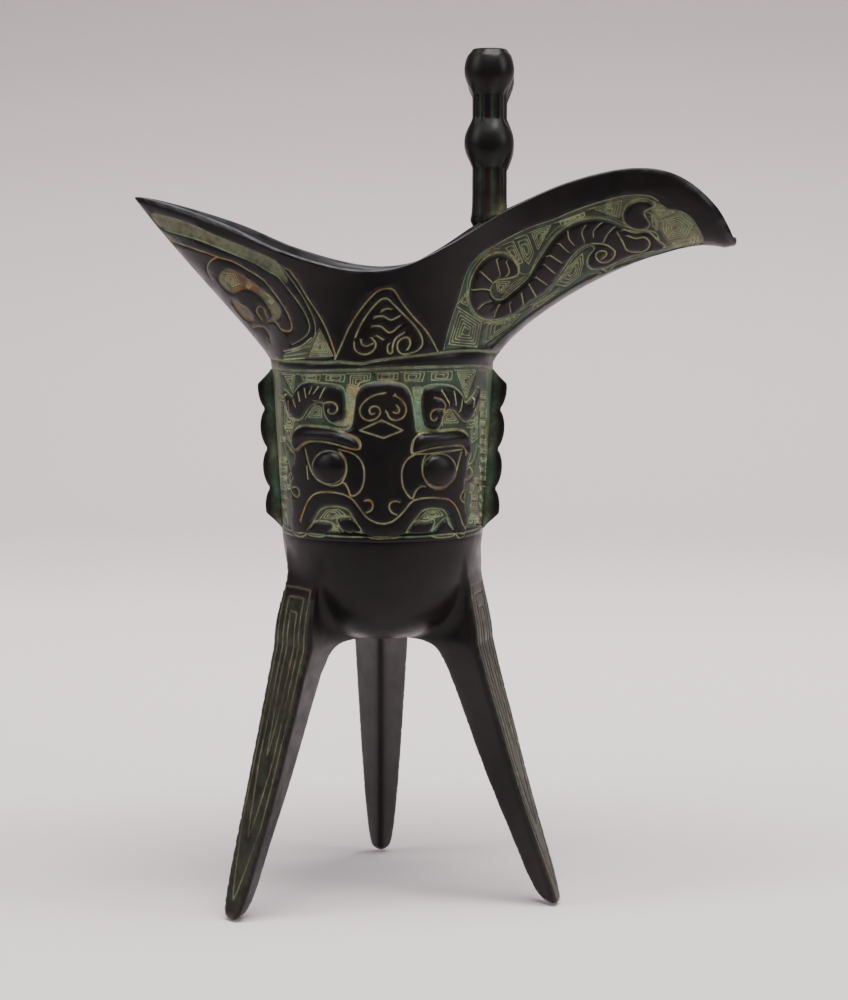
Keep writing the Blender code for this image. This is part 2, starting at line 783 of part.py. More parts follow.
def flange(side, collection):
    # A fin with round lobes that stands on the band under the spout or the tail.
    lobe = (flange_top - flange_bottom) / flange_lobes
    outline = [(body_radius(flange_top) - wall / 2, flange_top)]
    for i in range(flange_lobes):
        high = flange_top - i * lobe
        for share in (0.08, 0.25, 0.5, 0.75, 0.92):
            height = high - share * lobe
            swell = math.sin(share * math.pi) ** 0.5
            reach = flange_notch + (flange_reach - flange_notch) * swell
            from_end = min(flange_top - height, height - flange_bottom)
            reach *= min(1.0, 0.1 + from_end / (0.4 * lobe))
            outline.append((body_radius(height) + reach, height))
    outline.append((body_radius(flange_bottom) - wall / 2, flange_bottom))
    name = "flange_spout" if side > 0 else "flange_tail"
    made = outline_solid(name, outline, flange_thickness, flange_edge, collection)
    made.rotation_euler = (math.pi / 2, 0.0, 0.0 if side > 0 else math.pi)
    return made


def handle(collection):
    # A strap that leaves the band under the neck and comes back to it above the bowl.
    inside = body_radius(handle_top) - wall / 2
    low_inside = body_radius(handle_bottom) - wall / 2
    far = body_radius(handle_top) + handle_reach
    climb = handle_top - handle_bottom
    route = [(inside + out * (far - inside), handle_top - down * climb) for out, down in handle_route]
    route.append((low_inside, handle_top - handle_end_drop * climb))
    widths = np.array(handle_thicknesses) * handle_thickness / 2
    middle = spline(route, False, 3)
    half = np.interp(np.linspace(0, 1, len(middle)), np.linspace(0, 1, len(widths)), widths)
    along = np.gradient(middle, axis=0)
    along /= np.linalg.norm(along, axis=1, keepdims=True)
    normal = np.stack([-along[:, 1], along[:, 0]], axis=1) * half[:, None]
    outline = np.vstack([middle + normal, (middle - normal)[::-1]])
    made = outline_solid("handle", outline, handle_width, handle_edge, collection)
    made.rotation_euler = (math.pi / 2, 0.0, math.pi / 2)
    return made


def bronze():
    material = bpy.data.materials.new("dark_bronze")
    material.use_nodes = True
    shader = material.node_tree.nodes["Principled BSDF"]
    shader.inputs["Base Color"].default_value = (0.035, 0.027, 0.022, 1.0)
    shader.inputs["Metallic"].default_value = 0.85
    shader.inputs["Roughness"].default_value = 0.38
    return material


def clear_scene():
    for thing in list(bpy.data.objects):
        bpy.data.objects.remove(thing)


def main():
    clear_scene()
    parts = bpy.data.collections.new("jue")
    cutters = bpy.data.collections.new("joined_shapes")
    for collection in (parts, cutters):
        bpy.context.scene.collection.children.link(collection)

    vessel = new_object("jue_vessel", cup_half(), parts)
    mirror = vessel.modifiers.new("back_half", "MIRROR")
    mirror.use_axis = (False, True, False)
    mirror.merge_threshold = 0.00001

    joined = [leg(i, cutters) for i in range(len(leg_angles))]
    joined += [post(side, cutters) for side in (-1, 1)]
    joined += [flange(side, cutters) for side in (1, -1)]
    joined.append(handle(cutters))
    for shape in joined:
        shape.hide_render = True
        shape.display_type = "WIRE"
        union = vessel.modifiers.new("join_" + shape.name, "BOOLEAN")
        union.operation = "UNION"
        union.solver = "EXACT"
        union.object = shape

    # The origin is under the middle of the whole vessel, on the plane of its feet.
    bpy.context.view_layer.update()
    graph = bpy.context.evaluated_depsgraph_get()
    shaped = vessel.evaluated_get(graph)
    corners = np.array([tuple(c) for c in shaped.bound_box])
    middle = (corners.min(axis=0) + corners.max(axis=0)) / 2
    base = bpy.data.objects.new("jue_base", None)
    parts.objects.link(base)
    base.location = (-middle[0], -middle[1], -corners[:, 2].min())
    for thing in [vessel] + joined:
        thing.parent = base

    vessel.data.materials.append(bronze())
    for thing in [vessel] + joined:
        thing.data.shade_smooth()
        thing.data.set_sharp_from_angle(angle=math.radians(35.0))


main()
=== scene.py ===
# Bronze jue: the finished casting with its carved bands, dark skin and green fill.
# Lengths are millimetres from the cup's own axis until a mesh is made:
# x runs to the spout, y to the back, z up.

import math

import bmesh
import bpy
import numpy as np
from mathutils import Euler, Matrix, Vector, geometry, kdtree
from mathutils.bvhtree import BVHTree


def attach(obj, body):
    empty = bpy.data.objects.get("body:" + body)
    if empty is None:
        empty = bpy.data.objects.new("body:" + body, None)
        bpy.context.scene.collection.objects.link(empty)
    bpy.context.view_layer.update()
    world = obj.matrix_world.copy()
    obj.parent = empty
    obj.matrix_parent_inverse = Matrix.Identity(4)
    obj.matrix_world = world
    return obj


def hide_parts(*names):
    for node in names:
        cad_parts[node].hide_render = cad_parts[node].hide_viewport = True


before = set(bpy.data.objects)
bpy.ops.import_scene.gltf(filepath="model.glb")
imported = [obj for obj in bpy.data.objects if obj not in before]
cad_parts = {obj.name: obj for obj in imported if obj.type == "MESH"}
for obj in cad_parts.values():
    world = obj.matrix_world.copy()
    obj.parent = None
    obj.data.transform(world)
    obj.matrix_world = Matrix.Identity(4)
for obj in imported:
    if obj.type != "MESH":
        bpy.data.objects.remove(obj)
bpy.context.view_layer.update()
print("packed vessel loaded")

mm = 0.001
axisPlace = np.array([-12.983, -7.444, 0.0])  # where the cup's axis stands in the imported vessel

cup = dict(
    neckRadius=27.5, neckHeight=134.8, bandRadius=25.0, bandBottom=92.8,
    bowlBottom=66.0, bowlTaper=0.12, wall=2.6, tipWall=1.7, rimWall=2.1, rimCrown=0.4,
    spoutReach=86.6, tailReach=61.1, halfMouth=30.7, mouthHeight=157.8,
    spoutRise=24.1, tailRise=17.3, rimRun=10.0,
    columns=120, bandRows=22, flareRows=26, insideRows=14, insideBandRows=10,
)

# The rim as shares of reach, half width and rise, from each tip inward.
spoutRim = (
    (1.00, 0.00, 0.25), (0.94, 0.29, 0.62), (0.83, 0.435, 0.925), (0.70, 0.50, 1.0),
    (0.53, 0.60, 0.866), (0.355, 0.775, 0.58), (0.20, 0.92, 0.245), (0.06, 0.985, 0.025),
)
tailRim = (
    (0.12, 0.98, 0.01), (0.385, 0.84, 0.265), (0.606, 0.603, 0.605), (0.80, 0.34, 0.84),
    (0.94, 0.13, 0.975), (1.00, 0.0, 1.0),
)
spoutKeel = ((0.092, 0.38), (0.643, 1.065))
tailKeel = ((0.06, 0.13), (0.685, 0.645))

flareSpan = cup["mouthHeight"] - cup["neckHeight"] + cup["rimRun"]
rimStation = cup["neckHeight"] + flareSpan


def nearestTree(points):
    # finds the nearest of the points, which may lie in a plane
    tree = kdtree.KDTree(len(points))
    for i, point in enumerate(points):
        tree.insert((*point, 0.0)[:3], i)
    tree.balance()
    return tree


def ease(value):
    value = np.clip(value, 0.0, 1.0)
    return value * value * (3.0 - 2.0 * value)


def smoothPath(points, closed, perSpan):
    # a rounded line through every point
    points = np.array(points, float)
    if closed:
        run = np.vstack([points[-1:], points, points[:2]])
    else:
        run = np.vstack([2 * points[0] - points[1], points, 2 * points[-1] - points[-2]])
    line = []
    for a, b, c, d in zip(run[:-3], run[1:-2], run[2:-1], run[3:]):
        for t in np.linspace(0.0, 1.0, perSpan, endpoint=False):
            line.append(0.5 * (2 * b + (c - a) * t + (2 * a - 5 * b + 4 * c - d) * t**2
                               + (3 * b - a - 3 * c + d) * t**3))
    if not closed:
        line.append(points[-1])
    return np.array(line)


def evenSteps(line, step, closed):
    # the same line with points one step apart, its ends kept
    if closed:
        line = np.vstack([line, line[:1]])
    lengths = np.linalg.norm(np.diff(line, axis=0), axis=1)
    along = np.concatenate([[0.0], np.cumsum(lengths)])
    count = max(2, int(round(along[-1] / step)) + 1)
    wanted = np.linspace(0.0, along[-1], count)
    out = np.stack([np.interp(wanted, along, line[:, i]) for i in range(line.shape[1])], axis=1)
    return out[:-1] if closed else out


# Form of the cup's skin


def rimLine():
    stations = [
        (x * cup["spoutReach"], y * cup["halfMouth"], cup["mouthHeight"] + z * cup["spoutRise"])
        for x, y, z in spoutRim
    ]
    stations += [
        (-x * cup["tailReach"], y * cup["halfMouth"], cup["mouthHeight"] + z * cup["tailRise"])
        for x, y, z in tailRim
    ]
    far = [(x, -y, z) for x, y, z in stations[1:-1]]
    whole = smoothPath(stations + far[::-1], True, 40)
    return whole[: 40 * (len(stations) - 1) + 1]


def keelLine(side, reach, endHeight, shares):
    radius, neck = cup["neckRadius"], cup["neckHeight"]
    inner = [(side * (radius + x * (reach - radius)), neck + z * (endHeight - neck)) for x, z in shares]
    start, first, second, end = (
        np.array(p, float) for p in ((side * radius, neck), *inner, (side * reach, endHeight))
    )
    t = np.linspace(0.0, 1.0, 800)[:, None]
    return ((1 - t) ** 3 * start + 3 * (1 - t) ** 2 * t * first
            + 3 * (1 - t) * t**2 * second + t**3 * end)


rim = rimLine()
rimSteps = np.linalg.norm(np.diff(rim, axis=0), axis=1)
rimShare = np.concatenate([[0.0], np.cumsum(rimSteps)]) / rimSteps.sum()
spoutLine = keelLine(1, cup["spoutReach"], rim[0, 2], spoutKeel)
tailLine = keelLine(-1, cup["tailReach"], rim[-1, 2], tailKeel)
keelShare = np.linspace(0.0, 1.0, len(spoutLine))


def halfWidth(x, z):
    radius, neck = cup["neckRadius"], cup["neckHeight"]
    rimY = np.interp(-x, -rim[:, 0], rim[:, 1])
    rimZ = np.interp(-x, -rim[:, 0], rim[:, 2])
    spoutZ = np.interp(x, spoutLine[:, 0], spoutLine[:, 1])
    tailZ = np.interp(-x, -tailLine[:, 0], tailLine[:, 1])
    low = np.where(x > radius, spoutZ, np.where(x < -radius, tailZ, neck))
    v = np.clip((z - low) / np.maximum(rimZ - low, 1e-6), 0.0, 1.0)
    trough = 0.8 * (1.0 - (1.0 - v) ** 1.8) + 0.2 * v
    trumpet = v**1.7
    away = ease((np.abs(x) - 0.7 * radius) / (0.8 * radius))
    bulge = trumpet + (trough - trumpet) * away
    round2 = np.maximum(radius**2 - x**2, 0.0)
    return np.sqrt(round2 + (rimY**2 - round2) * bulge)


def flareSkin(theta, t):
    share = 0.5 - 0.5 * np.cos(theta)
    rimX = np.interp(share, rimShare, rim[:, 0])
    rimZ = np.interp(share, rimShare, rim[:, 2])
    near, far = (1.0 - share) ** 1.5, share**1.5
    place = []
    for axis, low, high in ((0, cup["neckRadius"] * np.cos(theta), rimX), (1, cup["neckHeight"], rimZ)):
        value = (1 - t) * low + t * high
        for weight, line in ((near, spoutLine), (far, tailLine)):
            straight = (1 - t) * line[0, axis] + t * line[-1, axis]
            value = value + weight * (np.interp(t, keelShare, line[:, axis]) - straight)
        place.append(value)
    x, z = place
    y = np.where(np.abs(np.sin(theta)) < 1e-6, 0.0, halfWidth(x, z))
    return np.stack([x, -np.sign(np.sin(theta)) * y, z], axis=-1)


def bodyRadius(height):
    share = (height - cup["bandBottom"]) / (cup["neckHeight"] - cup["bandBottom"])
    return cup["bandRadius"] + (cup["neckRadius"] - cup["bandRadius"]) * share


def bandSkin(theta, z):
    radius = bodyRadius(z)
    return np.stack([radius * np.cos(theta), -radius * np.sin(theta), z], axis=-1)


def skin(theta, station):
    # a station is a height up to the neck, and above it runs on to the rim
    theta, station = np.broadcast_arrays(np.asarray(theta, float), np.asarray(station, float))
    t = np.clip((station - cup["neckHeight"]) / flareSpan, 0.0, 1.0)
    low = bandSkin(theta, np.minimum(station, cup["neckHeight"]))
    return np.where((station > cup["neckHeight"])[..., None], flareSkin(theta, t), low)


def skinFrame(theta, station):
    # the skin's outward normal, and its steps for one unit round and one unit up
    theta, station = np.broadcast_arrays(np.asarray(theta, float), np.asarray(station, float))
    around = (skin(theta + 0.01, station) - skin(theta - 0.01, station)) / 0.02
    low = np.maximum(station - 0.3, cup["bandBottom"])
    high = np.minimum(station + 0.3, rimStation)
    up = (skin(theta, high) - skin(theta, low)) / (high - low)[..., None]
    normal = np.cross(up, around)
    return normal / np.linalg.norm(normal, axis=-1, keepdims=True), around, up


def wallAt(theta, station):
    t = np.clip((station - cup["neckHeight"]) / flareSpan, 0.0, 1.0)
    return cup["wall"] + (cup["tipWall"] - cup["wall"]) * t**2 * np.cos(theta) ** 4


def innerRim(thetas):
    share = 0.5 - 0.5 * np.cos(thetas)
    before, after = np.clip(share - 0.004, 0, 1), np.clip(share + 0.004, 0, 1)
    runX = np.interp(after, rimShare, rim[:, 0]) - np.interp(before, rimShare, rim[:, 0])
    runY = np.interp(after, rimShare, rim[:, 1]) - np.interp(before, rimShare, rim[:, 1])
    ends = np.abs(np.sin(thetas)) < 1e-6
    runX = np.where(ends, 0.0, runX)
    runY = np.where(ends, np.cos(thetas), runY)
    level = np.stack([-runY, -runX, 0 * runX], axis=1)
    level /= np.linalg.norm(level, axis=1, keepdims=True)
    normal = skinFrame(thetas, rimStation)[0]
    tip = (np.maximum(np.cos(thetas), 0.0) ** 12)[:, None]
    inward = level * (1 - tip) - normal * tip
    inward /= np.linalg.norm(inward, axis=1, keepdims=True)
    thickness = cup["rimWall"] + (cup["tipWall"] - cup["rimWall"]) * np.cos(thetas) ** 4
    return skin(thetas, rimStation) + inward * thickness[:, None]


# Where a pixel of the photograph falls on the near side of the cup

picture = dict(
    place=(18.96, -625.81, 168.3), tip=83.74, turn=2.0,
    focal=2500.0, middle=(424.0, 500.0), height=1000.0,  # in pixels
)


def makeSkinFinder():
    thetas = np.linspace(0.0, math.pi, 241)
    stations = np.linspace(cup["bandBottom"], rimStation, 141)
    grid = np.stack(np.meshgrid(thetas, stations, indexing="ij"), axis=-1).reshape(-1, 2)
    places = skin(grid[:, 0], grid[:, 1])
    rows = len(stations)
    faces = []
    for i in range(len(thetas) - 1):
        for j in range(rows - 1):
            a = i * rows + j
            faces += [(a, a + rows, a + rows + 1), (a, a + rows + 1, a + 1)]
    tree = BVHTree.FromPolygons([tuple(p) for p in places], faces)
    return dict(tree=tree, faces=faces, grid=grid, places=places)


def onSkin(pixels, finder):
    # round and up for each pixel that meets the skin
    turn = Euler((math.radians(picture["tip"]), 0.0, math.radians(picture["turn"]))).to_matrix()
    start = Vector(np.array(picture["place"]) - axisPlace)
    found = []
    for x, y in pixels:
        ray = Vector(((x - picture["middle"][0]) / picture["focal"],
                      (picture["middle"][1] - y) / picture["focal"], -1.0))
        place, _, index, _ = finder["tree"].ray_cast(start, (turn @ ray).normalized())
        if place is None:
            continue
        corners = finder["faces"][index]
        a, b, c = (finder["places"][i] for i in corners)
        ab, ac, ap = b - a, c - a, np.array(place) - a
        d00, d01, d11 = ab @ ab, ab @ ac, ac @ ac
        d20, d21 = ap @ ab, ap @ ac
        under = d00 * d11 - d01 * d01
        v = (d11 * d20 - d01 * d21) / under
        w = (d00 * d21 - d01 * d20) / under
        grid = finder["grid"]
        found.append((1 - v - w) * grid[corners[0]] + v * grid[corners[1]] + w * grid[corners[2]])
    return np.array(found)


# Close-ups of the photograph on which the ornament was measured: upper left pixel and enlargement

closeUps = dict(
    mask=((250, 350), 5.807), strip=((265, 365), 6.533), neck=((265, 280), 8.253),
    spout=((420, 170), 4.825), tail=((130, 190), 7.293),
)
# Pigments as shares of olive, green and rust
olive, oliveGreen, oliveRust = (1.0, 0.0, 0.0), (0.5, 0.3, 0.0), (0.62, 0.0, 0.3)
echoTint = (0.65, 0.2, 0.05)
plateEdge, browEdge = (0.5, 0.32, 0.08), (0.3, 0.12, 0.12)

# The mask. Plates stand on the sunk ground; each is an outline drawn round the dark shape.
maskPlates = dict(
    face=[
        (780, 188), (850, 195), (900, 215), (930, 260), (945, 330), (955, 400), (965, 470),
        (1000, 478), (1100, 472), (1190, 465), (1245, 476), (1270, 520), (1266, 590), (1256, 700),
        (1244, 800), (1245, 900), (1262, 985), (1245, 1062), (1225, 1090), (1205, 1072),
        (1180, 1020), (1155, 960), (1130, 925), (1070, 915), (1010, 925), (970, 965),
        (935, 1010), (905, 1060), (860, 1082), (800, 1087), (740, 1090), (680, 1075),
        (640, 1045), (615, 1000), (590, 950), (560, 920), (510, 905), (450, 905), (410, 918),
        (385, 945), (360, 990), (330, 1055), (295, 1080), (258, 1064), (246, 1010), (248, 940),
        (242, 860), (240, 780), (240, 700), (262, 640), (258, 590), (252, 530), (258, 475),
        (300, 445), (420, 450), (520, 465), (565, 465), (592, 435), (605, 360), (612, 300),
        (628, 240), (665, 208), (720, 194),
    ],
    hornLeft=[
        (197, 235), (208, 290), (220, 345), (242, 385), (270, 402), (298, 385), (325, 345),
        (355, 312), (400, 298), (428, 310), (428, 345), (440, 385), (470, 417), (510, 412),
        (545, 395), (552, 340), (546, 262), (528, 220), (490, 207), (420, 198), (340, 192),
        (292, 205), (264, 240), (245, 278), (222, 262),
    ],
    hornRight=[
        (1002, 255), (1018, 222), (1060, 208), (1120, 207), (1170, 214), (1205, 234),
        (1232, 265), (1254, 312), (1300, 268), (1330, 215), (1324, 290), (1306, 350),
        (1286, 395), (1260, 412), (1236, 396), (1215, 370), (1190, 345), (1150, 345),
        (1124, 375), (1112, 420), (1090, 455), (1050, 458), (1020, 435), (1004, 380), (998, 320),
    ],
    fangOuterLeft=[(338, 1060), (365, 1010), (400, 1000), (452, 1004), (476, 1020), (460, 1050),
        (420, 1076), (370, 1074)],
    fangInnerLeft=[(508, 985), (545, 975), (592, 980), (622, 1020), (642, 1052), (592, 1057),
        (545, 1050), (520, 1020)],
    fangInnerRight=[(920, 1058), (940, 1020), (975, 1000), (1030, 1000), (1070, 990), (1060, 1030),
        (1036, 1060), (980, 1068)],
    fangOuterRight=[(1060, 1072), (1090, 1030), (1140, 980), (1152, 1010), (1188, 1066), (1120, 1082)],
)
maskSwells = dict(
    browLeft=[(272, 470), (300, 449), (360, 450), (440, 458), (520, 476), (582, 498), (622, 530),
        (634, 566), (600, 566), (540, 548), (470, 530), (400, 523), (350, 527), (312, 548),
        (285, 580), (264, 560), (260, 510)],
    browRight=[(946, 570), (955, 522), (985, 492), (1040, 485), (1120, 478), (1190, 471),
        (1238, 481), (1258, 520), (1264, 596), (1248, 580), (1232, 556), (1190, 548), (1130, 552),
        (1050, 563), (985, 582), (948, 592)],
)
maskEyes = ((467, 680, 90), (1092, 697, 90))
maskLines = [
    # under the left brow and round the left socket
    [(280, 583), (312, 550), (350, 530), (420, 530), (500, 546), (560, 566), (612, 577), (641, 572),
        (645, 540), (625, 508), (575, 484)],
    [(520, 576), (580, 592), (625, 616), (656, 660), (666, 720), (656, 790), (627, 833), (590, 846),
        (577, 812), (560, 777), (544, 768)],
    [(332, 578), (345, 640), (365, 700), (390, 742), (430, 770), (480, 786), (528, 776), (553, 740),
        (566, 690), (556, 630), (528, 592)],
    # under the right brow and round the right socket
    [(1246, 612), (1238, 572), (1212, 552), (1130, 558), (1050, 570), (980, 590), (937, 600),
        (934, 560), (950, 512), (980, 487)],
    [(1224, 576), (1130, 588), (1040, 600), (955, 606), (906, 640), (880, 700), (884, 780),
        (906, 830), (940, 862), (955, 822), (985, 792), (1012, 790)],
    [(1218, 590), (1200, 660), (1175, 740), (1132, 790), (1080, 803), (1030, 782), (1000, 725),
        (996, 660), (1014, 610)],
    # mouth
    [(306, 980), (330, 910), (355, 862), (392, 831), (450, 822), (520, 830), (577, 850), (612, 882),
        (640, 920), (670, 960), (710, 990), (760, 1006), (810, 1000), (850, 976), (890, 935),
        (930, 885), (962, 866), (1030, 856), (1100, 858), (1150, 870), (1185, 905), (1210, 960),
        (1226, 1010), (1246, 1036)],
    # nostrils
    [(668, 876), (686, 866), (708, 880), (715, 905), (705, 930), (682, 941)],
    [(862, 879), (835, 875), (811, 890), (808, 916), (825, 943), (850, 954)],
    # forehead
    [(782, 248), (720, 262), (670, 295), (640, 340), (650, 385), (690, 408), (735, 395), (758, 360),
        (745, 330), (715, 325), (694, 345), (704, 372), (722, 368)],
    [(845, 265), (885, 295), (905, 340), (890, 386), (850, 406), (812, 395), (794, 360)],
    [(850, 320), (866, 345), (855, 366), (833, 360)],
    # horn curls
    [(378, 296), (405, 300), (430, 309), (470, 299), (504, 311), (515, 340), (500, 364), (474, 369),
        (459, 353), (468, 340)],
    [(1122, 345), (1090, 340), (1060, 346), (1042, 371), (1046, 400), (1066, 409), (1078, 392)],
    [(1065, 275), (1105, 287), (1126, 320), (1122, 352)],
    # side chains
    [(190, 528), (200, 590), (232, 704), (256, 650), (262, 612), (232, 590), (206, 548)],
    [(233, 708), (216, 740), (236, 776), (258, 742), (244, 714)],
    [(240, 782), (254, 830), (284, 856), (298, 826), (280, 796), (254, 800)],
    [(1326, 552), (1318, 600), (1300, 650), (1272, 664), (1292, 610)],
    [(1280, 680), (1250, 722), (1262, 756), (1290, 742), (1300, 706), (1284, 682)],
    [(1250, 762), (1242, 802), (1212, 850), (1236, 886), (1254, 852), (1244, 806)],
]
maskTicks = [
    [(214, 262), (216, 300)], [(234, 292), (236, 345)], [(262, 290), (276, 326)],
    [(290, 242), (300, 286)], [(328, 226), (336, 274)], [(370, 210), (354, 254)],
    [(402, 216), (380, 250)], [(442, 216), (414, 276)],
    [(1110, 240), (1148, 308)], [(1176, 240), (1186, 304)], [(1222, 292), (1212, 354)],
    [(1296, 276), (1284, 330)], [(1302, 330), (1282, 386)], [(340, 678), (346, 748)],
]
maskAngles = [
    [(640, 465), (764, 405), (886, 465), (776, 509), (640, 465)],
]
# Where the pigment lies flat over the ground
washes = [
    ("mask", [(556, 205), (600, 200), (640, 215), (618, 262), (600, 340), (592, 400), (575, 440),
        (540, 450), (470, 430), (515, 420), (556, 398), (562, 330)], (0.2, 0.3, 0.22)),
    ("mask", [(940, 215), (1000, 210), (1008, 240), (994, 300), (1000, 380), (1020, 450),
        (1040, 470), (980, 474), (968, 440), (958, 360), (950, 280)], (0.2, 0.34, 0.05)),
    ("mask", [(140, 140), (172, 140), (176, 1080), (146, 1080)], (0.1, 0.22, 0.05)),
    ("mask", [(1376, 140), (1412, 140), (1404, 1080), (1370, 1080)], (0.1, 0.22, 0.02)),
    ("spout", [(1120, 150), (1200, 185), (1290, 210), (1345, 275), (1366, 350), (1250, 384),
        (1200, 360), (1150, 300), (1120, 240)], (0.2, 0.1, 0.03)),
    ("spout", [(900, 150), (1040, 124), (1110, 130), (1090, 160), (1000, 180), (970, 230),
        (900, 222)], (0.13, 0.07, 0.03)),
]
# Squared spirals of the ground: the corners of the outermost turn, then the number of turns.
stripSpirals = [
    ([(105, 62), (192, 62), (178, 200)], 3.0), ([(200, 62), (365, 62), (365, 106), (224, 106)], 2.2),
    ([(372, 62), (528, 62), (524, 116), (372, 104)], 2.2),
    ([(538, 58), (696, 52), (688, 100), (620, 118), (592, 158), (538, 150)], 3.4),
    ([(706, 52), (880, 50), (878, 102), (716, 100)], 2.4),
    ([(888, 48), (1058, 42), (1040, 112), (900, 110)], 2.6),
    ([(1068, 43), (1238, 38), (1236, 100), (1072, 108)], 2.6),
    ([(1247, 36), (1392, 30), (1320, 232)], 4.4),
    ([(256, 352), (318, 262), (366, 275), (376, 352)], 3.0),
    ([(1165, 392), (1172, 300), (1216, 286), (1288, 386)], 3.0),
    ([(108, 236), (152, 340), (190, 362), (176, 420), (112, 420)], 3.0),
    ([(1412, 200), (1340, 330), (1318, 420), (1404, 420)], 3.0),
]
maskSpirals = [
    ([(398, 985), (440, 930), (512, 924), (566, 955), (470, 990)], 3.0),
    ([(985, 985), (1030, 935), (1110, 932), (1140, 962), (1060, 985)], 3.0),
    ([(186, 440), (244, 440), (240, 560), (200, 520)], 3.0),
    ([(1284, 420), (1330, 380), (1330, 520), (1290, 560)], 3.0),
]

neckLines = [
    [(150, 670), (300, 675), (470, 682), (600, 675), (800, 690), (900, 668), (1100, 641),
        (1300, 620), (1430, 604), (1568, 588), (1760, 585), (1860, 600)],
    [(150, 746), (400, 750), (600, 745), (800, 740), (1000, 731), (1200, 721), (1568, 712),
        (1760, 712), (1860, 735)],
]
bladeLines = [
    [(745, 470), (790, 370), (840, 290), (900, 215), (960, 160), (1010, 155), (1060, 200),
        (1150, 290), (1230, 370), (1285, 450), (1302, 520), (1270, 575), (1200, 605), (1130, 610),
        (1095, 572), (1100, 512), (1150, 475), (1190, 482), (1200, 530), (1180, 570)],
    [(790, 495), (800, 532), (838, 546), (880, 530)],
    [(735, 520), (740, 572), (780, 606), (840, 612), (895, 580), (915, 525), (878, 475)],
    [(935, 300), (980, 300), (1040, 330), (1112, 298)],
    [(898, 380), (960, 385), (1030, 436), (1106, 384)],
    [(992, 242), (1018, 236), (1042, 244)],
    [(920, 458), (975, 492)],
    [(1010, 545), (1016, 602), (1050, 602), (1055, 545), (1080, 482), (1150, 434)],
]
bladeFlanks = [
    [(575, 655), (640, 510), (700, 380), (800, 230), (920, 100), (1010, 72), (1065, 85), (1130, 185),
        (1230, 310), (1340, 430), (1430, 590)],
]

spoutGround = [
    (118, 862), (135, 790), (158, 710), (188, 625), (218, 520), (252, 452), (300, 402),
    (360, 367), (430, 327), (500, 292), (570, 264), (640, 242), (720, 207), (800, 177),
    (880, 152), (960, 130), (1040, 121), (1110, 127), (1150, 150), (1200, 185), (1245, 190),
    (1290, 210), (1320, 240), (1345, 275), (1362, 310), (1368, 350), (1362, 372), (1250, 386),
    (1100, 424), (1000, 454), (900, 488), (800, 532), (700, 588), (600, 655), (520, 710),
    (455, 760), (405, 800), (360, 843), (300, 866), (200, 860),
]
spoutPlates = dict(
    body=[
        (470, 505), (468, 465), (445, 430), (400, 408), (345, 416), (300, 450), (262, 510),
        (246, 570), (246, 625), (264, 675), (300, 710), (350, 722), (405, 712), (455, 690),
        (500, 655), (550, 620), (605, 585), (650, 540), (690, 480), (730, 420), (775, 378),
        (820, 358), (850, 380), (822, 420), (815, 455), (840, 480), (900, 470), (960, 440),
        (1050, 405), (1130, 392), (1180, 375), (1150, 350), (1140, 315), (1100, 300),
        (1040, 296), (980, 275), (930, 252), (880, 240), (820, 240), (760, 255), (705, 283),
        (650, 332), (608, 392), (570, 450), (530, 520), (488, 562), (440, 602), (400, 632),
        (362, 630), (340, 600), (343, 560), (372, 530), (420, 522),
    ],
    crest=[
        (1060, 146), (1020, 160), (995, 190), (985, 225), (1000, 262), (1040, 284), (1085, 285),
        (1106, 265), (1090, 240), (1078, 215), (1086, 196), (1120, 181), (1130, 168), (1100, 150),
    ],
)
spoutLines = [
    [(912, 366), (938, 388), (930, 420), (898, 442), (864, 438), (845, 412), (856, 392), (880, 386),
        (900, 396), (894, 412)],
    [(812, 356), (850, 352), (890, 356), (914, 366)],
    [(950, 300), (974, 340), (1000, 385), (1060, 391), (1096, 376), (1107, 346), (1082, 321),
        (1040, 326), (1000, 314)],
    [(985, 285), (1040, 300), (1105, 300), (1150, 340)],
    [(870, 470), (900, 490), (960, 460), (1060, 425), (1150, 405)],
]
spoutTicks = [
    [(367, 432), (386, 505)], [(414, 440), (430, 488), (414, 510)], [(288, 487), (345, 540)],
    [(248, 577), (300, 572), (334, 578)], [(275, 668), (305, 642), (340, 630)],
    [(353, 705), (375, 655)], [(436, 684), (430, 642)], [(497, 642), (487, 590)],
    [(558, 608), (526, 552)], [(610, 550), (562, 517)], [(648, 497), (596, 452)],
    [(680, 445), (626, 410)], [(712, 393), (668, 352)], [(742, 362), (716, 330), (710, 292)],
    [(790, 340), (778, 300), (795, 266)], [(834, 320), (836, 290), (866, 258)],
    [(884, 344), (900, 310), (928, 278)],
]
spoutRails = [
    [(118, 862), (135, 790), (158, 710), (188, 625), (218, 520), (252, 452), (300, 402), (360, 367),
        (430, 327), (500, 292), (570, 264), (640, 242), (720, 207), (800, 177), (880, 152),
        (960, 130), (1040, 121), (1110, 127), (1150, 150)],
    [(232, 605), (232, 560), (246, 500), (285, 440), (340, 404), (405, 396), (456, 420), (482, 462),
        (484, 500), (530, 500), (560, 440), (596, 385), (640, 325), (690, 278), (740, 250),
        (810, 228), (880, 226), (940, 238), (990, 262)],
    [(232, 605), (250, 680), (300, 728), (360, 738), (420, 724), (480, 690), (560, 640), (620, 600),
        (664, 550), (706, 486), (742, 430), (786, 388), (822, 372)],
]
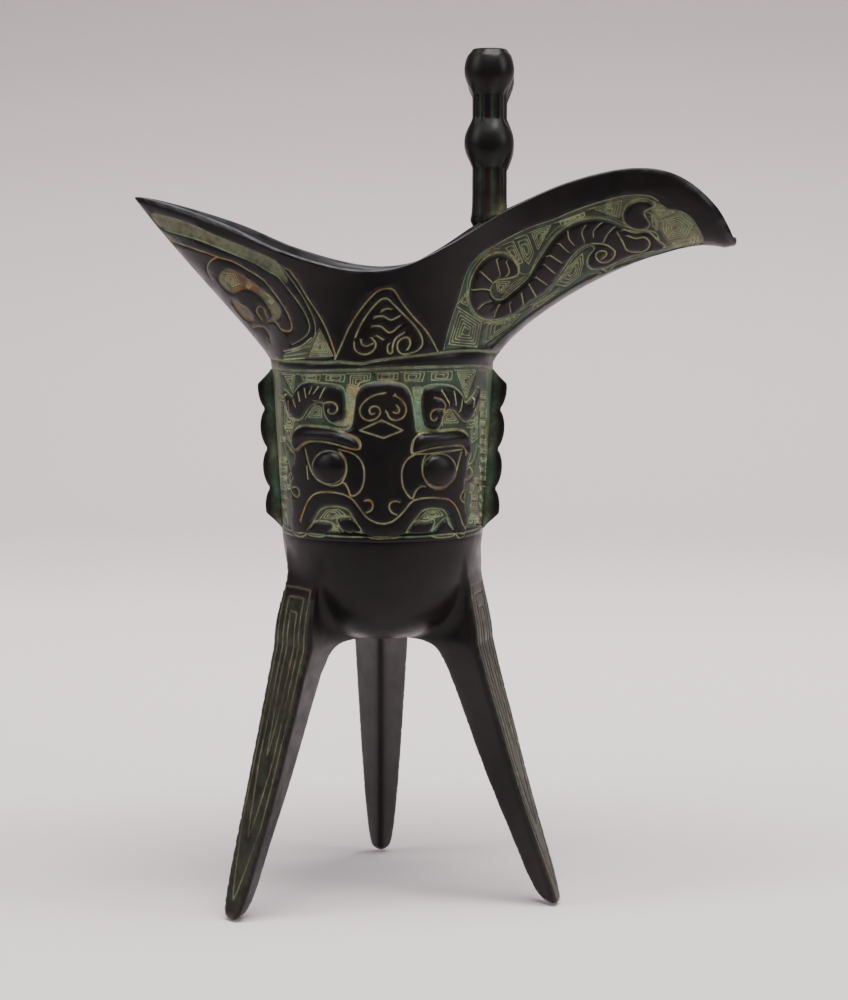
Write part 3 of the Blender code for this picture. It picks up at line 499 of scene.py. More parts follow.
spoutSpirals = [
    ([(185, 662), (306, 736), (286, 862), (130, 850)], 5.2),
    ([(318, 742), (400, 726), (500, 690), (440, 760), (306, 856)], 3.6),
    ([(190, 644), (236, 578), (238, 668)], 2.0),
    ([(362, 545), (440, 538), (400, 604), (372, 592)], 2.6),
    ([(400, 366), (452, 340), (505, 455), (470, 470), (440, 420)], 2.6),
    ([(462, 334), (520, 308), (556, 402), (530, 470), (500, 440)], 3.0),
    ([(530, 304), (640, 262), (570, 400)], 3.6),
    ([(652, 258), (800, 204), (806, 222), (730, 246), (672, 284)], 2.4),
    ([(822, 190), (980, 146), (968, 236), (900, 216)], 3.6),
    ([(1168, 250), (1258, 222), (1320, 268), (1292, 330), (1204, 346), (1166, 300)], 4.6),
    ([(1120, 195), (1180, 192), (1240, 206), (1160, 240)], 2.2),
    ([(1196, 360), (1300, 340), (1352, 320), (1350, 366), (1240, 382)], 3.0),
    ([(640, 570), (720, 470), (790, 398), (796, 450), (780, 520), (700, 580)], 4.2),
    ([(540, 660), (620, 612), (690, 580), (600, 648), (530, 698)], 2.4),
    ([(1112, 210), (1150, 250), (1150, 300), (1118, 280)], 2.4),
]

tailGround = [
    (150, 172), (300, 197), (450, 247), (600, 317), (750, 377), (900, 442), (1050, 512),
    (1120, 600), (1150, 660), (1130, 690), (1070, 630), (1010, 598), (900, 532), (760, 472),
    (640, 422), (500, 367), (400, 337), (280, 302), (190, 262),
]
tailCurl = [
    (640, 640), (660, 600), (710, 572), (790, 605), (880, 660), (970, 730), (1050, 800),
    (1100, 880), (1085, 945), (1030, 972), (985, 968), (1025, 930), (1015, 880), (960, 800),
    (890, 745), (835, 730), (790, 745), (750, 762), (690, 725), (655, 690),
]
tailPatch = [(735, 805), (790, 822), (850, 860), (902, 930), (890, 965), (842, 950), (785, 895)]
tailTriangle = [(1378, 1000), (1440, 1110), (1488, 1215), (1300, 1232), (1110, 1236), (1120, 1190),
    (1230, 1150), (1320, 1090)]
tailLines = [
    [(300, 372), (450, 425), (560, 462), (640, 492), (740, 520), (860, 586), (960, 650), (1040, 740),
        (1110, 840), (1160, 930), (1176, 1020), (1112, 1026), (1062, 966)],
    [(625, 494), (585, 520), (562, 565), (572, 622)],
    [(945, 930), (920, 884), (940, 852), (974, 870), (990, 918)],
    [(895, 1004), (940, 996), (980, 1010), (1012, 1052), (1025, 1112)],
    [(1160, 586), (1230, 682), (1300, 800), (1380, 920), (1440, 1040), (1490, 1180), (1496, 1225)],
]
tailEdges = [
    [(190, 262), (280, 302), (400, 337), (500, 367), (640, 422), (760, 472), (900, 532), (1010, 598),
        (1070, 630), (1130, 700), (1210, 800), (1270, 890), (1306, 980), (1300, 1040), (1250, 1090),
        (1180, 1130)],
    [(1050, 512), (1110, 575), (1200, 690), (1270, 800), (1330, 920), (1352, 1020), (1330, 1090),
        (1260, 1140), (1160, 1175)],
]
tailStripes = [
    [(1115, 1236), (1270, 1226)], [(1118, 1216), (1280, 1190)], [(1128, 1196), (1300, 1140)],
    [(1120, 1178), (1240, 1140), (1320, 1080)],
]
tailSpirals = [([(1378, 1015), (1480, 1212), (1290, 1222)], 4.6), ([(680, 610), (760, 620),
    (800, 690), (740, 720), (680, 670)], 2.6)]


# Ornament laid on the skin

carving = dict(
    lineHalf=0.28, lineDepth=0.28, fineHalf=0.22, fineDepth=0.2, threadHalf=0.17, threadDepth=0.16,
    groundDepth=0.28, groundSlope=0.3, washSlope=0.6, edgingReach=0.6, edgingDepth=0.07,
    bandTint=(0.03, 0.15, 0.0), footTint=(0.28, 0.3, 0.04), footHeight=94.15, footHalf=0.3,
    neckHalf=0.42, neckDepth=0.4, pixelStep=2.4, cornerStep=3.4,
    fillStep=0.9, clearance=0.22, fillGap=0.42, echoShortest=4, endFade=0.4,
)
# Sunk fields: close-up, outline, depth, tint, and whether the outline is rounded
sunkFields = [
    ("spout", spoutGround, carving["groundDepth"], (0.03, 0.12, 0.0), True),
    ("tail", tailGround, 0.35, (0.24, 0.1, 0.04), True),
    ("tail", tailCurl, 0.3, (0.17, 0.03, 0.12), True),
    ("tail", tailPatch, 0.3, (0.2, 0.06, 0.08), True),
    ("tail", tailTriangle, 0.2, (0.12, 0.1, 0.0), False),
]
# Raised forms: rise, slope of the edge, swell, the swell's reach and the pigment along the edge
raised = dict(
    face=(0.6, 0.45, 0.35, 3.0, plateEdge), horn=(0.6, 0.45, 0.5, 2.2, plateEdge),
    fang=(0.45, 0.45, 0.2, 1.0, plateEdge), brow=(0.25, 0.5, 0.9, 2.0, browEdge),
    eye=(0.1, 0.3, 1.5, 3.8, browEdge), dragon=(0.5, 0.4, 0.25, 1.6, plateEdge),
)


def pixelsOf(closeUp, points):
    corner, scale = closeUps[closeUp]
    return np.array(corner, float) + np.array(points, float) / scale


def layPath(finder, closeUp, points, closed=False, rounded=True):
    # a drawn line as round and up on the skin, in even steps
    if rounded and len(points) > 2:
        pixels = pixelsOf(closeUp, smoothPath(points, closed, 6))
        pixels = evenSteps(pixels, carving["pixelStep"], closed)
    else:
        pixels = splitSides(pixelsOf(closeUp, points), carving["cornerStep"], closed)
    path = onSkin(pixels, finder)
    return path if len(path) > 1 else None


def splitSides(line, longest, closed):
    # points added along each side, the corners kept
    ends = np.vstack([line, line[:1]]) if closed else line
    out = []
    for a, b in zip(ends[:-1], ends[1:]):
        count = max(1, math.ceil(np.linalg.norm(b - a) / longest))
        out += [a + (b - a) * i / count for i in range(count)]
    return np.array(out if closed else out + [ends[-1]])


def sideways(path, distance, closed):
    # the path moved along the skin, to its left
    normal, around, up = skinFrame(path[:, 0], path[:, 1])
    places = skin(path[:, 0], path[:, 1])
    if closed:
        along = np.roll(places, -1, axis=0) - np.roll(places, 1, axis=0)
    else:
        along = np.gradient(places, axis=0)
    side = np.cross(normal, along)
    side /= np.maximum(np.linalg.norm(side, axis=1, keepdims=True), 1e-9)
    aa, ab, bb = (around * around).sum(-1), (around * up).sum(-1), (up * up).sum(-1)
    pa, pb = (side * around).sum(-1), (side * up).sum(-1)
    under = np.maximum(aa * bb - ab * ab, 1e-9)
    step = np.stack([(bb * pa - ab * pb) / under, (aa * pb - ab * pa) / under], axis=1)
    moved = path + step * distance
    moved[:, 0] = np.clip(moved[:, 0], 0.012, math.pi - 0.012)
    moved[:, 1] = np.clip(moved[:, 1], cup["bandBottom"] + 0.15, rimStation - 0.6)
    return moved


def flatten(path):
    return np.stack([-path[:, 0] * cup["neckRadius"], path[:, 1]], axis=1)


def unflatten(points):
    return np.stack([-points[:, 0] / cup["neckRadius"], points[:, 1]], axis=1)


def insideLoop(points, loop):
    a, b = loop, np.roll(loop, -1, axis=0)
    x, y = points[:, 0, None], points[:, 1, None]
    crosses = (a[:, 1] > y) != (b[:, 1] > y)
    rise = np.where(b[:, 1] == a[:, 1], 1e-9, b[:, 1] - a[:, 1])
    at = a[:, 0] + (y - a[:, 1]) / rise * (b[:, 0] - a[:, 0])
    return (crosses & (x < at)).sum(axis=1) % 2 == 1


def gapTo(points, line, closed):
    a = line if closed else line[:-1]
    b = np.roll(line, -1, axis=0) if closed else line[1:]
    side = b - a
    toPoint = points[:, None] - a[None]
    along = np.clip((toPoint * side).sum(-1) / np.maximum((side * side).sum(-1), 1e-12), 0, 1)
    return np.linalg.norm(toPoint - along[..., None] * side, axis=-1).min(axis=1)


def addArea(marks, path, rise, slope, swell=0.0, swellReach=1.5, tint=(0, 0, 0), cover=0.0,
            edging=None):
    if path is None:
        return
    if signedArea(flatten(path)) < 0:
        path = path[::-1]
    marks.append(dict(kind="area", path=path, rise=rise, slope=slope, swell=swell,
                      swellReach=swellReach, tint=np.array(tint), cover=cover, edging=edging))


def addLine(marks, path, half, depth, tint, fine=False):
    if path is not None:
        tint = np.array(tint)
        marks.append(dict(kind="line", path=path, half=half, depth=depth, tint=tint, fine=fine))


def signedArea(loop):
    after = np.roll(loop, -1, axis=0)
    return 0.5 * np.sum(loop[:, 0] * after[:, 1] - after[:, 0] * loop[:, 1])


def cornerSpiral(corners, turns):
    # a squared spiral that winds in from the corners to their middle
    corners = np.array(corners, float)
    middle = corners.mean(axis=0)
    count = len(corners)
    total = int(round(turns * count))
    points = []
    for k in range(total + 1):
        share = 1.0 - 0.94 * k / (total + 0.6 * count)
        points.append(middle + (corners[k % count] - middle) * share)
    return points


# Small squared spirals that fill what is left of the ground: outline and tilt of each field
groundFills = [
    ("mask", [(142, 215), (1404, 215), (1400, 1062), (146, 1062)], 0.0),
    ("spout", spoutGround, -29.0),
    ("tail", tailCurl, 35.0),
]
groundCells = [(9.2, 2.2), (6.8, 1.5)]  # side in pixels and turns
# Lines that follow a form's outline across the ground: form, field and distances
echoes = [("spout", spoutPlates["body"], spoutGround, (0.95, 1.5, 2.05))]


def circle(x, y, radius):
    turns = np.linspace(0, 2 * math.pi, 24, endpoint=False)
    return [(x + radius * math.cos(a), y + radius * math.sin(a)) for a in turns]


def ornament(finder):
    c = carving
    marks = []
    # sunk ground of the band, of the spout's panel and of the tail's panel
    thetas = np.linspace(0.06, math.pi - 0.06, 110)
    neckLow = layPath(finder, "neck", neckLines[1])
    low = np.interp(thetas, neckLow[::-1, 0], neckLow[::-1, 1]) - 0.35
    bandTop = np.stack([thetas, low], axis=1)
    bandEnd = np.stack([thetas[::-1], np.full(len(thetas), c["footHeight"] - 0.05)], axis=1)
    band = np.vstack([bandTop, bandEnd])
    addArea(marks, band, -c["groundDepth"], c["groundSlope"], tint=c["bandTint"])
    for name, outline, depth, tint, rounded in sunkFields:
        path = layPath(finder, name, outline, True, rounded)
        addArea(marks, path, -depth, c["groundSlope"], tint=tint)
    for name, outline, tint in washes:
        addArea(marks, layPath(finder, name, outline, True), 0.0, c["washSlope"], tint=tint)

    # raised forms
    groups = [
        ("mask", [outline for name, outline in maskPlates.items() if kind in name], kind)
        for kind in ("face", "horn", "fang")
    ]
    groups.append(("mask", maskSwells.values(), "brow"))
    groups.append(("mask", [circle(*eye) for eye in maskEyes], "eye"))
    groups.append(("spout", spoutPlates.values(), "dragon"))
    for name, outlines, kind in groups:
        rise, slope, swell, reach, edging = raised[kind]
        for outline in outlines:
            path = layPath(finder, name, outline, True)
            addArea(marks, path, rise, slope, swell, reach, cover=1.0, edging=edging)

    # incised lines
    half, depth = c["lineHalf"], c["lineDepth"]
    for name, lines, tint, rounded in (
        ("mask", maskLines, oliveRust, True), ("mask", maskAngles, olive, False),
        ("neck", bladeLines, olive, True), ("neck", bladeFlanks, oliveRust, True),
        ("spout", spoutLines, olive, True), ("tail", tailLines, oliveRust, True),
    ):
        for line in lines:
            addLine(marks, layPath(finder, name, line, rounded=rounded), half, depth, tint)
    for name, lines, tint in (
        ("mask", maskTicks, olive), ("spout", spoutTicks, olive), ("spout", spoutRails, oliveGreen),
        ("tail", tailStripes, olive), ("tail", tailEdges, oliveGreen),
    ):
        for line in lines:
            path = layPath(finder, name, line)
            addLine(marks, path, c["fineHalf"], c["fineDepth"], tint, fine=name == "mask")
    for line in neckLines:
        path = layPath(finder, "neck", line)
        first, last = path[0], path[-1]
        left = np.stack([np.linspace(math.pi - 0.03, first[0], 30)[:-1], np.full(29, first[1])], axis=1)
        right = np.stack([np.linspace(last[0], 0.03, 12)[1:], np.full(11, last[1])], axis=1)
        addLine(marks, np.vstack([left, path, right]), c["neckHalf"], c["neckDepth"], oliveGreen)

    thetas = np.linspace(0.1, math.pi - 0.1, 120)
    under = c["footHeight"] + 0.12 * np.sin(9 * thetas)
    addLine(marks, np.stack([thetas, under], axis=1), c["footHalf"], c["threadDepth"], c["footTint"])

    # squared spirals
    for name, spirals in (
        ("strip", stripSpirals), ("mask", maskSpirals), ("spout", spoutSpirals), ("tail", tailSpirals),
    ):
        for corners, turns in spirals:
            path = layPath(finder, name, cornerSpiral(corners, turns), rounded=False)
            addLine(marks, path, c["threadHalf"], c["threadDepth"], olive, fine=True)
    for name, shape, outline, distances in echoes:
        for distance in distances:
            echoLine(finder, marks, name, shape, outline, distance)
    for cell in groundCells:
        for name, outline, tilt in groundFills:
            fillGround(finder, marks, name, outline, tilt, *cell)
    return marks


def takenGround(marks):
    # the plates' outlines, and a finder for the nearest line already laid
    covers = [flatten(m["path"]) for m in marks if m["kind"] == "area" and m["cover"]]
    lines = [flatten(m["path"]) for m in marks if m["kind"] == "line" or m["cover"]]
    return covers, nearestTree(np.vstack(lines))


def echoLine(finder, marks, name, shape, outline, distance):
    # lays the outline's free stretches
    c = carving
    path = layPath(finder, name, shape, True)
    if signedArea(flatten(path)) < 0:
        path = path[::-1]
    echo = sideways(path, -distance, True)
    flat = flatten(echo)
    covers, tree = takenGround(marks)
    free = insideLoop(flat, flatten(layPath(finder, name, outline, True)))
    for cover in covers:
        free &= ~insideLoop(flat, cover)
    free &= np.array([tree.find((x, y, 0.0))[2] > c["fillGap"] for x, y in flat])
    # a moved outline crosses itself in tight bends, and those stretches are left out too
    free &= gapTo(flat, flatten(path), True) > 0.6 * distance
    start = 0
    for i in range(len(echo) + 1):
        if i == len(echo) or not free[i]:
            if i - start >= c["echoShortest"]:
                addLine(marks, echo[start:i], c["threadHalf"], c["threadDepth"], echoTint, fine=True)
            start = i + 1


def fillGround(finder, marks, name, outline, tilt, side, turns):
    # lays a spiral in every cell that is clear of the plates and lines
    c = carving
    loop = pixelsOf(name, outline)
    covers, tree = takenGround(marks)
    across = np.array([math.cos(math.radians(tilt)), math.sin(math.radians(tilt))])
    down = np.array([-across[1], across[0]])
    middle = (loop.min(axis=0) + loop.max(axis=0)) / 2
    reach = int(np.ptp(loop, axis=0).max() / side)
    half = side * 0.43
    square = ((-1, -1), (1, -1), (1, 1), (-1, 1))
    for i in range(-reach, reach + 1):
        for j in range(-reach, reach + 1):
            centre = middle + side * (i * across + j * down)
            corners = np.array([centre + half * (a * across + b * down) for a, b in square])
            if not insideLoop(corners, loop).all():
                continue
            if (i + j) % 2:
                corners = corners[[2, 3, 0, 1]]
            path = onSkin(splitSides(np.array(cornerSpiral(corners, turns)), side, False), finder)
            if len(path) < 4:
                continue
            flat = flatten(path)
            if min(tree.find((x, y, 0.0))[2] for x, y in flat) < c["fillGap"]:
                continue
            if any(insideLoop(flat, cover).any() for cover in covers):
                continue
            addLine(marks, path, c["threadHalf"], c["threadDepth"], olive, fine=True)


lip = dict(rise=1.3, reach=4.6, spread=0.42, rimShare=0.3, rounding=1.6)


def lipSwell(thetas, stations):
    # the spout's lip is thicker towards its tip
    rise = ease((stations - rimStation + lip["reach"]) / lip["reach"])
    rounding = ease((rimStation - stations) / lip["rounding"])
    rise = rise * (lip["rimShare"] + (1 - lip["rimShare"]) * rounding)
    return lip["rise"] * rise * np.exp(-((thetas / lip["spread"]) ** 2))


def carvedSide(marks):
    # triangles over half the skin with every mark's edges in them, its heights and its tints
    thetas = np.linspace(0.0, math.pi, cup["columns"] + 1)
    stations = np.concatenate([
        np.linspace(cup["bandBottom"], cup["neckHeight"], cup["bandRows"] + 1),
        cup["neckHeight"] + flareSpan * np.linspace(0.0, 1.0, cup["flareRows"] + 1)[1:],
    ])
    grid = np.stack(np.meshgrid(thetas, stations, indexing="ij"), axis=-1).reshape(-1, 2)
    edge = (np.isin(grid[:, 0], thetas[[0, -1]]) | np.isin(grid[:, 1], stations[[0, -1]]))
    runs = []
    extra = []
    for mark in marks:
        path = mark["path"]
        if mark["kind"] == "area":
            runs.append((path, True))
            runs.append((sideways(path, mark["slope"], True), True))
            if mark["edging"]:
                runs.append((sideways(path, -carving["edgingReach"] / 2, True), True))
                runs.append((sideways(path, -carving["edgingReach"], True), True))
            if mark["swell"]:
                loop = flatten(path)
                low, high = loop.min(axis=0), loop.max(axis=0)
                step = carving["fillStep"]
                xs, ys = np.arange(low[0], high[0], step), np.arange(low[1], high[1], step)
                fill = np.stack(np.meshgrid(xs, ys, indexing="ij"), axis=-1).reshape(-1, 2)
                extra.append(fill[insideLoop(fill, loop)])
        else:
            for distance in (-mark["half"], 0.0, mark["half"]):
                runs.append((sideways(path, distance, False) if distance else path, False))
    runs = [(flatten(path), closed) for path, closed in runs]
    tree = nearestTree(np.vstack([path for path, _ in runs]))
    loose = np.vstack([flatten(grid[~edge])] + extra)
    kept = [p for p in loose if tree.find((p[0], p[1], 0.0))[2] > carving["clearance"]]
    points = np.vstack([flatten(grid[edge]), kept] + [path for path, _ in runs])
    count = len(points) - sum(len(path) for path, _ in runs)
    edges = []
    for path, closed in runs:
        last = len(path) if closed else len(path) - 1
        edges += [(count + i, count + (i + 1) % len(path)) for i in range(last)]
        count += len(path)
    net = geometry.delaunay_2d_cdt([Vector(p) for p in points], edges, [], 0, 1e-4)
    corners, faces = net[0], net[2]
    flat = np.array([tuple(c) for c in corners])
    place = unflatten(flat)
    place[:, 0] = np.clip(place[:, 0], 0.0, math.pi)
    height, tint = heightsAt(flat, place, marks)
    low, high = place[:, 1] - cup["bandBottom"], rimStation - place[:, 1]
    height *= ease(low / carving["endFade"]) * ease(high / carving["endFade"])
    height += lipSwell(place[:, 0], place[:, 1])
    normal = skinFrame(place[:, 0], place[:, 1])[0]
    return skin(place[:, 0], place[:, 1]) + normal * height[:, None], faces, tint


def heightsAt(flat, place, marks):
    points = skin(place[:, 0], place[:, 1])
    height = np.zeros(len(points))
    cut = np.zeros(len(points))
    tint = np.zeros((len(points), 3))
    for mark in marks:
        line = skin(mark["path"][:, 0], mark["path"][:, 1])
        reach = 0.6 if mark["kind"] == "area" else mark["half"]
        near = np.all((points > line.min(axis=0) - reach) & (points < line.max(axis=0) + reach), axis=1)
        chosen = np.nonzero(near)[0]
        if mark["kind"] == "area":
            within = insideLoop(flat[chosen], flatten(mark["path"]))
            if mark["edging"]:
                gap = gapTo(points[chosen], line, True)
                outside = ~within | (gap < 0.05)
                outer, away = chosen[outside], gap[outside] / carving["edgingReach"]
                share = np.clip(1.5 - 1.6 * np.abs(2.0 * away - 1.0), 0.0, 1.0) * (away < 1.0)
                tint[outer] = np.maximum(tint[outer], np.array(mark["edging"]) * share[:, None])
                cut[outer] = np.maximum(cut[outer], carving["edgingDepth"] * share)
            chosen = chosen[within]
            if len(chosen) == 0:
                continue
            gap = gapTo(points[chosen], line, True)
            height[chosen] += mark["rise"] * ease(gap / mark["slope"])
            if mark["swell"]:
                share = 1.0 - np.clip(gap / mark["swellReach"], 0, 1)
                height[chosen] += mark["swell"] * np.sqrt(1.0 - share**2)
            inside = ease(gap / 0.12)[:, None]
            tint[chosen] = tint[chosen] * (1 - inside * mark["cover"]) + inside * mark["tint"]
        elif len(chosen):
            gap = gapTo(points[chosen], line, False)
            deep = ease(1.0 - gap / mark["half"])
            cut[chosen] = np.maximum(cut[chosen], mark["depth"] * deep)
            filled = np.clip(1.35 * (1.0 - gap / mark["half"]), 0, 1)[:, None]
            tint[chosen] = np.maximum(tint[chosen], mark["tint"] * filled)
    return height - cut, np.clip(tint, 0.0, 1.0)


# Meshes

weldGap = 0.002


def weldedPiece(name, parts):
    # one closed object from parts of (places, faces, tints), their shared edges joined
    mesh = bmesh.new()
    fill = mesh.verts.layers.float_color.new("fill")
    for places, faces, tints in parts:
        verts = []
        for place, tint in zip((places + axisPlace) * mm, tints):
            vert = mesh.verts.new(place)
            # the fourth channel is one minus the rim's rubbed bare metal, lightened as a painted
            # highlight
            vert[fill] = (*tint[:3], 1.0 - (tint[3] if len(tint) > 3 else 0.0))
            verts.append(vert)
        for face in faces:
            try:
                mesh.faces.new([verts[i] for i in face])
            except ValueError:
                pass
    bmesh.ops.remove_doubles(mesh, verts=mesh.verts, dist=weldGap * mm)
    bmesh.ops.dissolve_degenerate(mesh, edges=mesh.edges, dist=weldGap / 4 * mm)
    bmesh.ops.recalc_face_normals(mesh, faces=mesh.faces)
    data = bpy.data.meshes.new(name)
    loose = sum(1 for e in mesh.edges if len(e.link_faces) != 2)
    mesh.to_mesh(data)
    mesh.free()
    piece = bpy.data.objects.new(name, data)
    bpy.context.scene.collection.objects.link(piece)
    data.shade_smooth()
    print(name, len(data.polygons), "faces,", loose, "loose edges")
    return piece


def rowsToMesh(rows, closed):
    rows = np.array(rows)
    count = rows.shape[1]
    faces = []
    for j in range(len(rows) - 1):
        for i in range(count if closed else count - 1):
            k = (i + 1) % count
            faces.append((j * count + i, j * count + k, (j + 1) * count + k, (j + 1) * count + i))
    return rows.reshape(-1, 3), faces


def endFaces(total, count):
    # the two faces that close a tube of rows
    return [tuple(reversed(range(count))), tuple(range(total - count, total))]


def mirrored(part):
    places, faces, tints = part
    return places * np.array([1.0, -1.0, 1.0]), [tuple(reversed(f)) for f in faces], tints


# Rows over the rim from its outer edge inward, and how much each is rubbed bare and lightened with a
# painted highlight
crownShares = (0.0, 0.12, 0.3, 0.5, 0.7, 0.88)
crownWearAndSheen = (0.25, 0.9, 1.0, 1.0, 0.9, 0.6, 0.35)


def makeCup(marks):
    thetas = np.linspace(0.0, math.pi, cup["columns"] + 1)
    front = carvedSide(marks)
    back = carvedSide([m for m in marks if not m.get("fine")])
    rows = [innerRim(thetas)]
    for station in (
        *(cup["neckHeight"] + flareSpan * np.linspace(0.93, 0.0, cup["insideRows"])),
        *np.linspace(cup["neckHeight"], cup["bandBottom"], cup["insideBandRows"])[1:],
    ):
        normal = skinFrame(thetas, station)[0]
        rows.append(skin(thetas, station) - normal * wallAt(thetas, station)[:, None])
    swell = lipSwell(thetas, rimStation)[:, None]
    outerRim = skin(thetas, rimStation) + skinFrame(thetas, rimStation)[0] * swell
    up = skinFrame(thetas, rimStation)[2]
    up /= np.linalg.norm(up, axis=1, keepdims=True)
    crown = []
    for share in crownShares:
        rise = up * cup["rimCrown"] * math.sin(math.pi * share) ** 0.7
        crown.append(outerRim * (1 - share) + rows[0] * share + rise)
    low = skin(thetas, cup["bandBottom"])
    places, faces = rowsToMesh(crown + rows + [low], False)
    # the rim rows get rubbed bare metal, whose pale colour is also a painted highlight along the rim
    bareAndSheen = np.zeros((len(places), 4))
    atSpout = np.maximum(np.cos(thetas), 0) ** 40
    for row, wearAndSheen in enumerate(crownWearAndSheen):
        bareAndSheen[row * len(thetas):(row + 1) * len(thetas), 3] = wearAndSheen * (1 - atSpout)
    inside = (places, faces, bareAndSheen)
    return weldedPiece("carvedCup", [front, inside, mirrored(back), mirrored(inside)])


# Bowl and legs, blended into one skin

legs = dict(
    spread=45.5, rootReach=25.9, top=90.0, width=14.0, depth=15.0, edge=1.5, ridge=0.8,
    blend=2.2, softBlend=3.2, footRound=2.4, rootSink=3.0, keel=0.3, keelRound=0.6,
    angles=(216.6, 348.2, 93.7), facings=(221.0, 344.0, 92.0), girths=(1.13, 0.97, 1.0),
    bows=(0.2, 1.4, 1.0),
    # height, width and depth as shares
    sections=(
        (0.0, 0.24, 0.21), (0.02, 0.33, 0.28), (0.06, 0.42, 0.35), (0.12, 0.50, 0.39),
        (0.27, 0.63, 0.44), (0.51, 0.77, 0.56), (0.75, 0.89, 0.66), (0.88, 0.95, 0.74),
        (0.95, 0.98, 0.84), (1.0, 1.0, 1.0),
    ),
    # height, how far the outer face stands out there and how much deeper the leg is, for each leg
    swells=(
        ((0, 0.0, 0.0), (30, 0.3, 0.2), (50, 0.8, 0.3), (66, 1.3, 0.0), (78, 1.6, 0.0),
         (84, 1.3, 0.0), (89, -0.6, 0.0), (93, -3.0, 0.0)),
        ((0, 0.1, 0.1), (8, 1.0, 1.0), (45, 1.3, 1.2), (60, 0.7, 0.6), (70, 0.4, 0.0), (78, 0.7, 0.0),
         (84, 0.7, 0.0), (89, -0.9, 0.0), (93, -3.0, 0.0)),
        ((0, 0.0, 0.0), (60, 0.3, 0.0), (78, 1.0, 0.0), (84, 0.9, 0.0), (89, -0.8, 0.0),
            (93, -3.0, 0.0)),
    ),
    readRuns=(-4.0, -2.0, 0.0, 2.0, 4.0), netStep=0.72, tongueTop=95.6,
    netLow=(-47.0, -38.5, -1.1), netHigh=(51.0, 52.0, 97.5),
)


# The bowl's distance tables: farthest point of the outline in from the axis, top, and spacing
bowlTables = dict(middle=-40.0, top=99.0, spacing=0.5, lowest=-3.0, reach=75.0, highest=100.0)


def bowlOutline(inner):
    far, top = bowlTables["middle"], bowlTables["top"]
    drop = cup["bandBottom"] - cup["bowlBottom"]
    shares = np.linspace(0.0, 1.0, 60)
    radius = cup["bandRadius"] * (1 - cup["bowlTaper"] * shares) * np.maximum(1 - shares**3, 0) ** 0.4
    outline = np.stack([radius, cup["bandBottom"] - shares * drop], axis=1)
    if not inner:
        edge = cup["bandRadius"] - 0.15
        start = [(far, top), (edge, top), (edge, cup["bandBottom"] + 0.2)]
        return np.vstack([start, outline[1:], [(far, cup["bowlBottom"])]])
    step = np.gradient(outline, axis=0)
    step /= np.linalg.norm(step, axis=1, keepdims=True)
    outline = outline + np.stack([step[:, 1], -step[:, 0]], axis=1) * cup["wall"]
    outline = outline[outline[:, 0] > 0.0]
    edge = cup["bandRadius"] - cup["wall"] + 0.12
    start = [(far, top), (edge, top), (edge, cup["bandBottom"] + 0.2)]
    return np.vstack([start, outline[1:], [(far, outline[-1, 1])]])


def bowlTable(inner):
    b = bowlTables
    radii = np.arange(0.0, b["reach"], b["spacing"])
    heights = np.arange(b["lowest"], b["highest"], b["spacing"])
    grid = np.stack(np.meshgrid(radii, heights, indexing="ij"), axis=-1).reshape(-1, 2)
    loop = bowlOutline(inner)
    gap = gapTo(grid, loop, True)
    return np.where(insideLoop(grid, loop), -gap, gap).reshape(len(radii), len(heights))


bowlOuter, bowlInner = bowlTable(False), bowlTable(True)


def fromTable(table, radius, height):
    b = bowlTables
    x = np.clip(radius / b["spacing"], 0, table.shape[0] - 1.001)
    y = np.clip((height - b["lowest"]) / b["spacing"], 0, table.shape[1] - 1.001)
    i, j = x.astype(int), y.astype(int)
    u, v = x - i, y - j
    return ((1 - u) * (1 - v) * table[i, j] + u * (1 - v) * table[i + 1, j]
            + (1 - u) * v * table[i, j + 1] + u * v * table[i + 1, j + 1])


def meld(a, b, reach):
    share = np.clip(0.5 + 0.5 * (b - a) / reach, 0.0, 1.0)
    return b + (a - b) * share - reach * share * (1.0 - share)


def legSizes(index, height):
    share = np.clip(height / cup["bowlBottom"], 0.0, 1.0)
    table = np.array(legs["sections"])
    girth = legs["girths"][index] * (1 - share) + share
    width = np.interp(share, table[:, 0], table[:, 1]) * girth * legs["width"]
    depth = np.interp(share, table[:, 0], table[:, 2]) * girth * legs["depth"]
    reach = legs["spread"] + (legs["rootReach"] - legs["spread"]) * share
    reach = reach - 4 * legs["bows"][index] * share * (1 - share)
    swell = np.array(legs["swells"][index])
    # the tables are read as an average over a short run of heights, which rounds their corners
    runs = legs["readRuns"]
    out = sum(np.interp(height + run, swell[:, 0], swell[:, 1]) for run in runs) / len(runs)
    deeper = sum(np.interp(height + run, swell[:, 0], swell[:, 2]) for run in runs) / len(runs)
    rise = np.clip((height - cup["bowlBottom"]) / (legs["top"] - cup["bowlBottom"]), 0.0, 1.0)
    reach = reach - legs["rootSink"] * ease(rise * 1.25) + out
    depth = (depth + deeper) * (1 - 0.75 * ease(rise * 1.4))
    return reach, width * (1 - 0.12 * rise), depth


def legPlace(index):
    facing, angle = math.radians(legs["facings"][index]), math.radians(legs["angles"][index])
    out = np.array([math.cos(facing), math.sin(facing)])
    return out, np.array([-out[1], out[0]]), np.array([math.cos(angle), math.sin(angle)])


